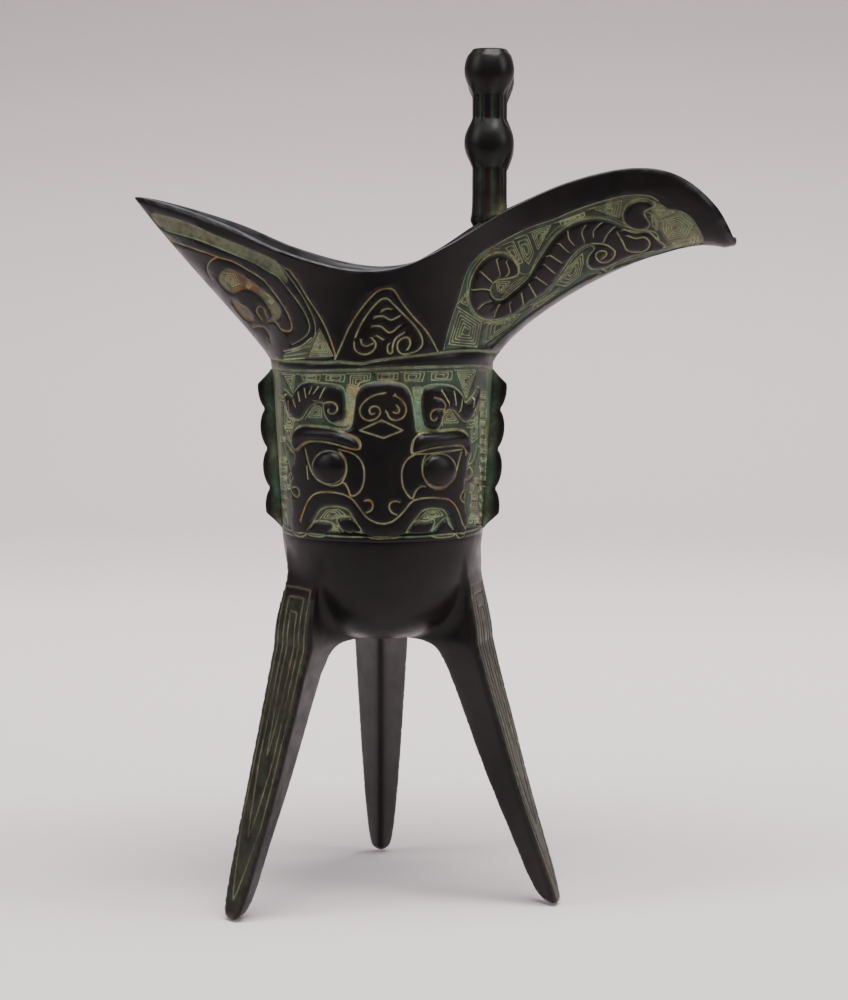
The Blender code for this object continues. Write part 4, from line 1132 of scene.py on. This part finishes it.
def formAt(points):
    # distance to the bowl and legs, negative inside
    x, y, z = points[..., 0], points[..., 1], points[..., 2]
    radius = np.hypot(x, y)
    form = fromTable(bowlOuter, radius, z)
    for index in range(3):
        out, across, toward = legPlace(index)
        reach, width, depth = legSizes(index, np.maximum(z, 0.0))
        dx, dy = x - reach * toward[0], y - reach * toward[1]
        outward = dx * out[0] + dy * out[1]
        away = np.sqrt((dx * across[0] + dy * across[1]) ** 2 + legs["ridge"] ** 2) - legs["ridge"]
        flank = ((away - width / 2) * depth - outward * width / 2) / np.hypot(depth, width / 2)
        body = -meld(-outward, -flank, legs["edge"])
        body = -meld(-body, width / 2 - legs["keel"] - away, legs["keelRound"])
        body = np.maximum(body, z - legs["top"])
        body = -meld(-body, z, legs["footRound"])
        # the blend is softest at the crotch and dies away towards the foot
        soft = ease((z - 40.0) / 20.0) * (1 - ease((z - 72.0) / 12.0))
        blend = legs["blend"] * ease((z - 20.0) / 30.0) + legs["softBlend"] * soft + 0.01
        form = meld(form, body, blend)
    form = np.maximum(form, -fromTable(bowlInner, radius, z))
    return np.maximum(np.maximum(form, -z), z - legs["tongueTop"])


def bowlAndLegsField():
    step = legs["netStep"]
    xs, ys, zs = (np.arange(low, high, step) for low, high in zip(legs["netLow"], legs["netHigh"]))
    field = np.empty((len(xs), len(ys), len(zs)), np.float32)
    flatGrid = np.stack(np.meshgrid(xs, ys, indexing="ij"), axis=-1)
    for k, z in enumerate(zs):
        level = np.full(flatGrid.shape[:2] + (1,), z)
        field[:, :, k] = formAt(np.concatenate([flatGrid, level], axis=-1))
    joinTouching(field)
    return field, np.array([xs[0], ys[0], zs[0]]), step


def joinTouching(field):
    # where two parts of the form touch only across a grid square's diagonal, they are joined
    for _ in range(4):
        inside = field < 0
        for a, b in ((0, 1), (1, 2), (0, 2)):
            views = []
            for i, j in ((0, 0), (1, 0), (1, 1), (0, 1)):
                view = [slice(None)] * 3
                view[a], view[b] = slice(i, field.shape[a] - 1 + i), slice(j, field.shape[b] - 1 + j)
                views.append(inside[tuple(view)])
            crossed = (views[0] == views[2]) & (views[1] == views[3]) & (views[0] != views[1])
            for spot in np.argwhere(crossed):
                corners = []
                for i, j in ((0, 0), (1, 0), (1, 1), (0, 1)):
                    place = list(spot)
                    place[a] += i
                    place[b] += j
                    corners.append(tuple(place))
                outer = min((c for c in corners if field[c] >= 0), key=lambda c: field[c], default=None)
                if outer:
                    field[outer] = -0.001


def settle(places):
    # moves points on to the form itself
    probe = 0.05
    for _ in range(2):
        here = formAt(places)
        slope = np.stack([(formAt(places + probe * step) - formAt(places - probe * step)) / (2 * probe)
                          for step in np.eye(3)], axis=1)
        size = np.maximum((slope**2).sum(axis=1), 0.25)
        places = places - np.clip(here / size, -0.4, 0.4)[:, None] * slope
    return places


def netSurface(field, origin, step):
    # a skin through the field's zero level, one point in each cell that it crosses
    inside = field < 0
    mixed = np.zeros(tuple(n - 1 for n in field.shape), bool)
    corner = [(i, j, k) for i in (0, 1) for j in (0, 1) for k in (0, 1)]

    def cut(array, shift):
        return array[tuple(slice(s, array.shape[a] - 1 + s) for a, s in enumerate(shift))]

    first = cut(inside, (0, 0, 0))
    for shift in corner[1:]:
        mixed |= cut(inside, shift) != first
    cells = np.argwhere(mixed)
    index = np.full(mixed.shape, -1)
    index[mixed] = np.arange(len(cells))
    total = np.zeros((len(cells), 3))
    number = np.zeros(len(cells))
    for a in corner:
        for axis in range(3):
            if a[axis]:
                continue
            b = tuple(v + (1 if i == axis else 0) for i, v in enumerate(a))
            low = field[tuple((cells + a).T)]
            high = field[tuple((cells + b).T)]
            crossed = (low < 0) != (high < 0)
            share = low[crossed] / (low[crossed] - high[crossed])
            total[crossed] += np.array(a) + share[:, None] * (np.array(b) - np.array(a))
            number[crossed] += 1
    places = (cells + total / number[:, None]) * step + origin
    faces = []
    for axis in range(3):
        b, c = (axis + 1) % 3, (axis + 2) % 3
        low = [slice(None)] * 3
        high = [slice(None)] * 3
        low[axis], high[axis] = slice(0, -1), slice(1, None)
        change = inside[tuple(low)] != inside[tuple(high)]
        spots = np.argwhere(change)
        keep = (spots[:, b] > 0) & (spots[:, c] > 0)
        keep &= (spots[:, b] < field.shape[b] - 1) & (spots[:, c] < field.shape[c] - 1)
        spots = spots[keep]
        around = []
        for db, dc in ((1, 1), (0, 1), (0, 0), (1, 0)):
            cell = spots.copy()
            cell[:, b] -= db
            cell[:, c] -= dc
            around.append(index[tuple(cell.T)])
        quads = np.stack(around, axis=1)
        solid = inside[tuple(spots.T)]
        faces.append(np.where(solid[:, None], quads, quads[:, ::-1]))
    return places, np.vstack(faces)


def relax(places, faces, times):
    edges = np.vstack([faces[:, [i, (i + 1) % 4]] for i in range(4)])
    for _ in range(times):
        total = np.zeros_like(places)
        number = np.zeros(len(places))
        for a, b in ((0, 1), (1, 0)):
            np.add.at(total, edges[:, a], places[edges[:, b]])
            np.add.at(number, edges[:, a], 1)
        moved = 0.5 * places + 0.5 * total / number[:, None]
        flat = places[:, 2] < 0.3
        moved[flat, 2] = places[flat, 2]
        places = moved
    return places


# Nested lines on the legs' outer faces. Each nest: the top bar's height, its share of the half
# width, and the height where its lines end.
legLines = dict(
    nests=((80.3, 0.78, 5.5), (78.0, 0.46, 20.5), (74.5, 0.2, 40.0)),
    half=0.3, depth=0.26, tint=(0.24, 0.1, 0.05), wash=(0.03, 0.015, 0.0), washTop=78.0,
    reaches=(0.8, 0.42), step=0.25, outward=0.6, washDepth=1.0, closing=18.0, worn=0.35,
)


def legPaths():
    paths = []
    for index in range(3):
        out, across, toward = legPlace(index)

        def onFace(height, share):
            reach, width, _ = legSizes(index, height)
            place = reach * toward + across * share * width / 2
            return np.array([place[0], place[1], height])

        for top, share, end in legLines["nests"]:
            heights = np.linspace(end, top, 60)
            # each pair of lines closes to a point at its lower end
            shares = share * np.minimum(1.0, ((heights - end) / legLines["closing"])) ** 0.6
            left = np.array([onFace(h, a) for h, a in zip(heights, shares)])
            right = np.array([onFace(h, -a) for h, a in zip(heights, shares)])
            bar = np.array([onFace(top, a) for a in np.linspace(share, -share, 12)])
            paths.append(np.vstack([left, bar[1:-1], right[::-1]]))
    return paths


def carveLegs(piece):
    mesh = bmesh.new()
    mesh.from_mesh(piece.data)
    paths = legPaths()
    tree = nearestTree(np.vstack([evenSteps(path, legLines["step"], False) for path in paths]))

    def gapAt(vert):
        place = np.array(vert.co) / mm - axisPlace
        return tree.find(place)[2]

    outs = [legPlace(index)[0] for index in range(3)]

    def facesOut(vert):
        x, y = vert.normal[0], vert.normal[1]
        return any(x * out[0] + y * out[1] > legLines["outward"] for out in outs)

    def onOuterFace(place):
        for index in range(3):
            out, across, toward = legPlace(index)
            reach, width, _ = legSizes(index, place[2])
            away = place[:2] - reach * toward
            if abs(away @ across) < width / 2 and abs(away @ out) < legLines["washDepth"]:
                return place[2] < legLines["washTop"]
        return False

    for reach in legLines["reaches"]:
        near = {v for v in mesh.verts if facesOut(v) and gapAt(v) < reach}
        edges = [e for e in mesh.edges if e.verts[0] in near and e.verts[1] in near]
        bmesh.ops.subdivide_edges(mesh, edges=edges, cuts=1, use_grid_fill=True)
        mesh.normal_update()
    fill = mesh.verts.layers.float_color["fill"]
    tint = np.array(legLines["tint"])
    moves = []
    for vert in mesh.verts:
        if facesOut(vert) and onOuterFace(np.array(vert.co) / mm - axisPlace):
            vert[fill] = (*legLines["wash"], 1.0)
        if facesOut(vert):
            gap = gapAt(vert)
            if gap < legLines["half"]:
                moves.append((vert, gap))
    for vert, gap in moves:
        share = 1.0 - gap / legLines["half"]
        vert.co -= vert.normal * (legLines["depth"] * float(ease(share)) * mm)
        # the pigment has worn thin in places along the lines
        drift = abs(math.sin(90.0 * vert.co.z + 40.0 * vert.co.x))
        left = legLines["worn"] + (1 - legLines["worn"]) * drift
        vert[fill] = (*(tint * left * min(1.0, 1.5 * share)), 1.0)
    bmesh.ops.triangulate(mesh, faces=[f for f in mesh.faces if len(f.verts) > 4])
    mesh.to_mesh(piece.data)
    mesh.free()
    piece.data.shade_smooth()
    triangles = sum(len(p.vertices) - 2 for p in piece.data.polygons)
    print(piece.name, "carved,", len(piece.data.polygons), "faces,", triangles, "triangles")


def makeBowlAndLegs():
    places, faces = netSurface(*bowlAndLegsField())
    places = settle(relax(places, faces, 4))
    faces = [tuple(int(i) for i in f) for f in faces]
    piece = weldedPiece("bowlAndLegs", [(places, faces, np.zeros((len(places), 3)))])
    carveLegs(piece)
    return piece


# Posts, flanges and handle

posts = dict(
    top=209.81, x=26.5, y=21.79, shaft=4.0, bulb=5.9, bulbHalf=5.8, bulbHeights=(204.73, 187.73),
    collar=170.0, foot=160.0, sides=64, rows=170, ridges=7, ridgeDepth=0.34, footFlare=0.7,
    capDrop=0.25, capShares=(0.03, 0.5, 0.8, 0.94), capWidth=0.9, bulbPower=1.05, inset=0.2,
    turn=0.6, footTint=0.3, fluteTint=0.08,
)


def makePost(side):
    p = posts
    heights = np.linspace(p["top"] - p["capDrop"], p["foot"], p["rows"])
    angles = np.linspace(0, 2 * math.pi, p["sides"], endpoint=False)
    flutes = np.cos(p["ridges"] * angles + p["turn"])
    low = np.interp(-p["x"], -rim[:, 0], rim[:, 2])  # the rim's height beside the post
    rings, tints = [], []
    topRadius = None
    for height in heights:
        radius, swell = p["shaft"], 0.0
        for middle in p["bulbHeights"]:
            share = abs(height - middle) / p["bulbHalf"]
            if share < 1.0:
                swell = math.cos(share * math.pi / 2) ** p["bulbPower"]
                radius = p["shaft"] + (p["bulb"] - p["shaft"]) * swell
        ridge = p["ridgeDepth"] * (1 - ease(swell * 1.3)) * flutes
        ridge = np.where(ridge > 0, ridge * 0.5, ridge)
        r = (radius + ridge) * (1 - 0.7 * max(p["collar"] - height, 0) / (p["collar"] - p["foot"]))
        topRadius = p["capWidth"] * radius if topRadius is None else topRadius
        r = r * (1 - 0.1 * ease((height - p["top"] + 1.8) / 1.6))
        # the foot flares a little where it meets the rim, then moves in with the wall's outer face
        r = r + p["footFlare"] * math.exp(-abs(height - low) / 1.6)
        x, y = p["x"] + r * np.cos(angles), p["y"] + r * np.sin(angles)
        rimZ = np.interp(-x, -rim[:, 0], rim[:, 2])
        limit = halfWidth(x, np.minimum(height, rimZ)) - p["inset"]
        moved = float(ease((rimZ.max() + 5.0 - height) / 5.0))
        y = y - moved * max(0.0, float((y - limit).max()))
        tint = np.zeros((len(angles), 3))
        tint[:, 1] = p["fluteTint"] * (1 - swell) * np.clip(-flutes, 0, 1)
        nearFoot = p["footTint"] * float(ease((low + 7.0 - height) / 6.0))
        tint[:, 0] = nearFoot * np.clip(np.cos(angles + 0.5 * side), 0, 1) ** 2
        tints.append(tint)
        rings.append(np.stack([x, side * y, np.full(len(angles), height)], axis=1))
    cap = []
    for share in p["capShares"]:
        x = p["x"] + topRadius * share * np.cos(angles)
        y = side * p["y"] + topRadius * share * np.sin(angles)
        cap.append(np.stack([x, y, np.full(len(angles), p["top"] - p["capDrop"] * share**6)], axis=1))
    places, faces = rowsToMesh(cap + rings, True)
    faces += endFaces(len(places), len(angles))
    name = "postNear" if side < 0 else "postFar"
    tints = np.vstack([np.zeros((len(cap) * len(angles), 3))] + tints)
    return weldedPiece(name, [(places, faces, tints)])


flanges = dict(
    top=133.0, bottom=93.6, reach=3.8, notch=1.9, thickness=3.0, lobes=4,
    root=1.3, rows=97, across=15, taper=0.4, greenTint=0.3, oliveTint=0.16,
)


def makeFlange(side):
    f = flanges
    lobe = (f["top"] - f["bottom"]) / f["lobes"]
    rows = []
    for height in np.linspace(f["top"], f["bottom"], f["rows"]):
        share = ((f["top"] - height) / lobe) % 1.0
        swell = max(math.sin(share * math.pi), 0.12) ** 0.5
        reach = f["notch"] + (f["reach"] - f["notch"]) * swell
        fromEnd = min(f["top"] - height, height - f["bottom"])
        reach *= min(1.0, 0.1 + fromEnd / (f["taper"] * lobe))
        half = f["thickness"] / 2 * (0.8 + 0.2 * swell)
        radius = bodyRadius(height)
        row = []
        for a in np.linspace(-1.0, 1.0, f["across"]):
            # a rounded edge: flat flanks, then a half round
            outward = radius - f["root"] + (reach + f["root"]) * (1 - abs(a) ** 5)
            row.append((side * outward, half * np.sign(a) * abs(a) ** 0.6, height))
        rows.append(row)
    places, faces = rowsToMesh(rows, False)
    count, total = len(rows[0]), len(places)
    faces += [tuple(range(count)), tuple(reversed(range(total - count, total)))]
    faces.append((*reversed(range(0, total, count)), *range(count - 1, total, count)))
    tints = np.zeros((len(places), 3))
    near = np.abs(places[:, 0]) - np.array([bodyRadius(z) for z in places[:, 2]])
    tints[:, 1] = f["greenTint"] * (1 - ease(near / 2.6))
    tints[:, 0] = f["oliveTint"] * (1 - ease(near / 2.0))
    name = "flangeSpout" if side > 0 else "flangeTail"
    return weldedPiece(name, [(places, faces, tints)])


handle = dict(
    width=7.0, reach=15.5, thickness=4.6, top=127.0, bottom=96.5, sides=28,
    widths=(1.1, 1.25, 1.3, 1.1, 0.8, 0.75, 0.85, 1.0),  # shares of the thickness along the loop
)


def makeHandle():
    h = handle
    inside = bodyRadius(h["top"]) - cup["wall"] / 2
    lowInside = bodyRadius(h["bottom"]) - cup["wall"] / 2
    far = bodyRadius(h["top"]) + h["reach"]
    climb = h["top"] - h["bottom"]
    route = (
        (inside, h["top"] - 1.0), (inside + 0.30 * (far - inside), h["top"] - 0.2),
        (inside + 0.72 * (far - inside), h["top"] - 0.6), (far - 0.6, h["top"] - 0.13 * climb),
        (far, h["top"] - 0.40 * climb), (far - 2.0, h["top"] - 0.68 * climb),
        (lowInside + 0.52 * (far - lowInside), h["bottom"] + 0.10 * climb),
        (lowInside, h["bottom"] + 0.06 * climb),
    )
    widths = np.array(h["widths"]) * h["thickness"] / 2
    middle = smoothPath(route, False, 10)
    half = np.interp(np.linspace(0, 1, len(middle)), np.linspace(0, 1, len(widths)), widths)
    along = np.gradient(middle, axis=0)
    along /= np.linalg.norm(along, axis=1, keepdims=True)
    rows = []
    for point, step, thick in zip(middle, along, half):
        row = []
        for a in np.linspace(0, 2 * math.pi, h["sides"], endpoint=False):
            x = h["width"] / 2 * np.sign(math.cos(a)) * abs(math.cos(a)) ** 0.45
            n = thick * np.sign(math.sin(a)) * abs(math.sin(a)) ** 0.55
            row.append((x, point[0] - step[1] * n, point[1] + step[0] * n))
        rows.append(row)
    places, faces = rowsToMesh(rows, True)
    faces += endFaces(len(places), len(rows[0]))
    return weldedPiece("strapHandle", [(places, faces, np.zeros((len(places), 3)))])


# Finish: dark bronze skin, with olive, green and rust fill where the marks carry it, and a rubbed rim
# whose pale blue-grey is partly a painted highlight

bronze = dict(
    dark=(0.0062, 0.0052, 0.0054, 1.0), warm=(0.0115, 0.0088, 0.008, 1.0),
    olive=(0.33, 0.335, 0.185, 1.0), green=(0.135, 0.235, 0.145, 1.0), rust=(0.37, 0.165, 0.055, 1.0),
    # the rim's rubbed metal colour, pale blue-grey so that it also paints the rim's highlight
    bareAndSheen=(0.10, 0.105, 0.115, 1.0), dust=(0.02, 0.02, 0.015, 1.0),
    roughness=(0.28, 0.42), fillRoughness=0.85, shine=0.15, metal=0.55, pit=0.00006, grain=0.00002,
)


def addNode(tree, kind, sockets=None, **settings):
    node = tree.nodes.new(kind)
    for name, value in settings.items():
        setattr(node, name, value)
    for name, value in (sockets or {}).items():
        node.inputs[name].default_value = value
    return node


def feed(tree, sockets, values):
    # links each value that is a socket, and sets the others
    for socket, value in zip(sockets, values):
        if isinstance(value, bpy.types.NodeSocket):
            tree.links.new(value, socket)
        else:
            socket.default_value = value


def mixColours(tree, factor, first, second, blend="MIX"):
    node = addNode(tree, "ShaderNodeMix", data_type="RGBA", blend_type=blend)
    feed(tree, (node.inputs["Factor"], node.inputs[6], node.inputs[7]), (factor, first, second))
    return node.outputs[2]


def remap(tree, value, low, high, toLow=0.0, toHigh=1.0):
    ends = {"From Min": low, "From Max": high, "To Min": toLow, "To Max": toHigh}
    node = addNode(tree, "ShaderNodeMapRange", ends, interpolation_type="SMOOTHSTEP")
    tree.links.new(value, node.inputs["Value"])
    return node.outputs["Result"]


def combine(tree, operation, first, second):
    node = addNode(tree, "ShaderNodeMath", operation=operation)
    feed(tree, node.inputs, (first, second))
    return node.outputs[0]


def clampOne(tree, value):
    node = addNode(tree, "ShaderNodeClamp")
    tree.links.new(value, node.inputs["Value"])
    return node.outputs[0]


def makeBronze():
    b = bronze
    material = bpy.data.materials.new("darkBronze")
    material.use_nodes = True
    tree = material.node_tree
    tree.nodes.clear()
    spots = addNode(tree, "ShaderNodeTexCoord").outputs["Object"]

    def noise(scale, detail=4.0, rough=0.55):
        settings = {"Scale": scale, "Detail": detail, "Roughness": rough}
        node = addNode(tree, "ShaderNodeTexNoise", settings)
        tree.links.new(spots, node.inputs["Vector"])
        return node.outputs["Fac"]

    broad, middle, fine, dust = noise(45.0), noise(260.0), noise(900.0, 3.0), noise(2600.0, 2.0)
    drift, drift2 = noise(130.0, 2.0), noise(95.0, 2.0)
    skinTone = mixColours(tree, remap(tree, broad, 0.42, 0.68), b["dark"], b["warm"])
    fill = addNode(tree, "ShaderNodeVertexColor", layer_name="fill")
    parts = addNode(tree, "ShaderNodeSeparateColor")
    tree.links.new(fill.outputs["Color"], parts.inputs["Color"])
    olivePart, greenPart, rustPart = (parts.outputs[name] for name in ("Red", "Green", "Blue"))

    def times(first, second):
        return combine(tree, "MULTIPLY", first, second)

    def share(part, drift):
        # the part's share of all the pigment, with its drift over the surface
        return clampOne(tree, times(combine(tree, "DIVIDE", part, safe), drift))

    # the rim's rubbed bare metal, whose pale blue-grey is also a painted highlight; it sets both the
    # colour and the metal
    wearAndSheen = combine(tree, "SUBTRACT", 1.0, fill.outputs["Alpha"])
    worn = times(wearAndSheen, remap(tree, middle, 0.35, 0.6, 0.35, 1.0))
    skinTone = mixColours(tree, worn, skinTone, b["bareAndSheen"])
    total = combine(tree, "ADD", combine(tree, "ADD", olivePart, greenPart), rustPart)
    patchy = times(remap(tree, middle, 0.32, 0.62, 0.55, 1.2), remap(tree, fine, 0.3, 0.6, 0.75, 1.1))
    cover = clampOne(tree, times(total, patchy))
    safe = combine(tree, "MAXIMUM", total, 0.02)
    greenShare = share(greenPart, remap(tree, drift, 0.4, 0.6, 0.6, 1.7))
    rustShare = share(rustPart, remap(tree, drift2, 0.45, 0.62, 0.15, 2.2))
    pigment = mixColours(tree, greenShare, b["olive"], b["green"])
    pigment = mixColours(tree, rustShare, pigment, b["rust"])
    colour = mixColours(tree, cover, skinTone, pigment)
    colour = mixColours(tree, times(cover, remap(tree, dust, 0.35, 0.7, 0.0, 0.35)), colour, b["dust"])
    skinRough = remap(tree, middle, 0.3, 0.7, *b["roughness"])
    rough = combine(tree, "ADD", skinRough, times(cover, b["fillRoughness"] - b["roughness"][1]))
    metal = times(worn, b["metal"])
    shader = addNode(tree, "ShaderNodeBsdfPrincipled", {"IOR": 1.5, "Specular IOR Level": b["shine"]})
    tree.links.new(colour, shader.inputs["Base Color"])
    tree.links.new(rough, shader.inputs["Roughness"])
    tree.links.new(metal, shader.inputs["Metallic"])
    pits = addNode(tree, "ShaderNodeBump", {"Strength": 0.35, "Distance": b["pit"]})
    tree.links.new(middle, pits.inputs["Height"])
    grain = addNode(tree, "ShaderNodeBump", {"Strength": 0.5, "Distance": b["grain"]})
    tree.links.new(dust, grain.inputs["Height"])
    tree.links.new(pits.outputs["Normal"], grain.inputs["Normal"])
    tree.links.new(grain.outputs["Normal"], shader.inputs["Normal"])
    out = addNode(tree, "ShaderNodeOutputMaterial")
    tree.links.new(shader.outputs["BSDF"], out.inputs["Surface"])
    return material


finder = makeSkinFinder()
marks = ornament(finder)
print("ornament laid out,", len(marks), "marks")
pieces = [makeCup(marks), makeBowlAndLegs(), makePost(-1), makePost(1)]
pieces += [makeFlange(1), makeFlange(-1), makeHandle()]
finish = makeBronze()
for piece in pieces:
    piece.data.materials.append(finish)
    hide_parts("jue_vessel")
    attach(piece, "root")
print("vessel dressed")

# Studio

# The sweep's tones paint light and shade on the paper: brightest on the far floor, darker at the near
# floor and darker up the wall.
studio = dict(
    nearFloorShadeTone=(0.63, 0.565, 0.575, 1.0), litMiddleTone=(1.0, 0.885, 0.895, 1.0),
    wallShadeTone=(0.53, 0.45, 0.455, 1.0), farSpan=(-0.1, 0.5), highSpan=(0.05, 0.38),
    floorFront=-0.32, floorBack=0.75, curve=0.5, wallTop=2.2, halfWidth=2.2,
    ambient=(0.80, 0.80, 0.84, 1.0), ambientStrength=0.08,
)


def makeSweep():
    s = studio
    outline = [(s["floorFront"], 0.0), (s["floorBack"], 0.0)]
    for a in np.linspace(0.0, math.pi / 2, 24)[1:]:
        outline.append((s["floorBack"] + s["curve"] * math.sin(a), s["curve"] * (1 - math.cos(a))))
    outline.append((s["floorBack"] + s["curve"], s["wallTop"]))
    verts = [(x, y, z) for y, z in outline for x in (-s["halfWidth"], s["halfWidth"])]
    faces = [(2 * i, 2 * i + 1, 2 * i + 3, 2 * i + 2) for i in range(len(outline) - 1)]
    data = bpy.data.meshes.new("studioSweep")
    data.from_pydata(verts, [], faces)
    data.shade_smooth()
    sweep = bpy.data.objects.new("studioSweep", data)
    bpy.context.scene.collection.objects.link(sweep)
    material = bpy.data.materials.new("paperSweep")
    material.use_nodes = True
    tree = material.node_tree
    shader = tree.nodes["Principled BSDF"]
    shader.inputs["Roughness"].default_value = 0.8
    shader.inputs["Specular IOR Level"].default_value = 0.2
    place = addNode(tree, "ShaderNodeTexCoord").outputs["Object"]
    split = addNode(tree, "ShaderNodeSeparateXYZ")
    tree.links.new(place, split.inputs["Vector"])
    # painted light and shade: the floor brightens from its near edge to the far floor, and the sweep
    # darkens as it rises up the wall
    far = remap(tree, split.outputs["Y"], *s["farSpan"])
    high = remap(tree, split.outputs["Z"], *s["highSpan"])
    paintedFloorLight = mixColours(tree, far, s["nearFloorShadeTone"], s["litMiddleTone"])
    tree.links.new(mixColours(tree, high, paintedFloorLight, s["wallShadeTone"]), shader.inputs["Base Color"])
    data.materials.append(material)


def addLight(name, place, target, size, power, colour):
    data = bpy.data.lights.new(name, "AREA")
    data.shape = "RECTANGLE"
    data.size, data.size_y = size
    data.energy = power
    data.color = colour
    light = bpy.data.objects.new(name, data)
    light.location = place
    light.rotation_euler = (Vector(target) - Vector(place)).to_track_quat("-Z", "Y").to_euler()
    bpy.context.scene.collection.objects.link(light)


# Place, target, size, power and colour of each light, in metres and watts
softLights = dict(
    softTop=((0.1, -0.25, 1.1), (0.0, 0.05, 0.1), (0.9, 0.6), 30.0, (1.0, 0.99, 0.98)),
    softLeft=((-1.0, -0.45, 0.7), (0.0, 0.0, 0.12), (0.4, 0.8), 7.0, (0.95, 0.97, 1.0)),
    softRight=((1.0, -0.35, 0.6), (0.0, 0.0, 0.12), (0.4, 0.8), 5.5, (0.95, 0.97, 1.0)),
)

makeSweep()
for name, settings in softLights.items():
    addLight(name, *settings)

world = bpy.data.worlds.new("studioAir")
bpy.context.scene.world = world
world.use_nodes = True
world.node_tree.nodes["Background"].inputs["Color"].default_value = studio["ambient"]
world.node_tree.nodes["Background"].inputs["Strength"].default_value = studio["ambientStrength"]

lens = bpy.data.cameras.new("camera")
lens.lens = lens.sensor_width * picture["focal"] / picture["height"]
lens.clip_start = 0.05
camera = bpy.data.objects.new("camera", lens)
camera.location = np.array(picture["place"]) * mm
camera.rotation_euler = (math.radians(picture["tip"]), 0.0, math.radians(picture["turn"]))
bpy.context.scene.collection.objects.link(camera)
bpy.context.scene.camera = camera
print("studio lit")
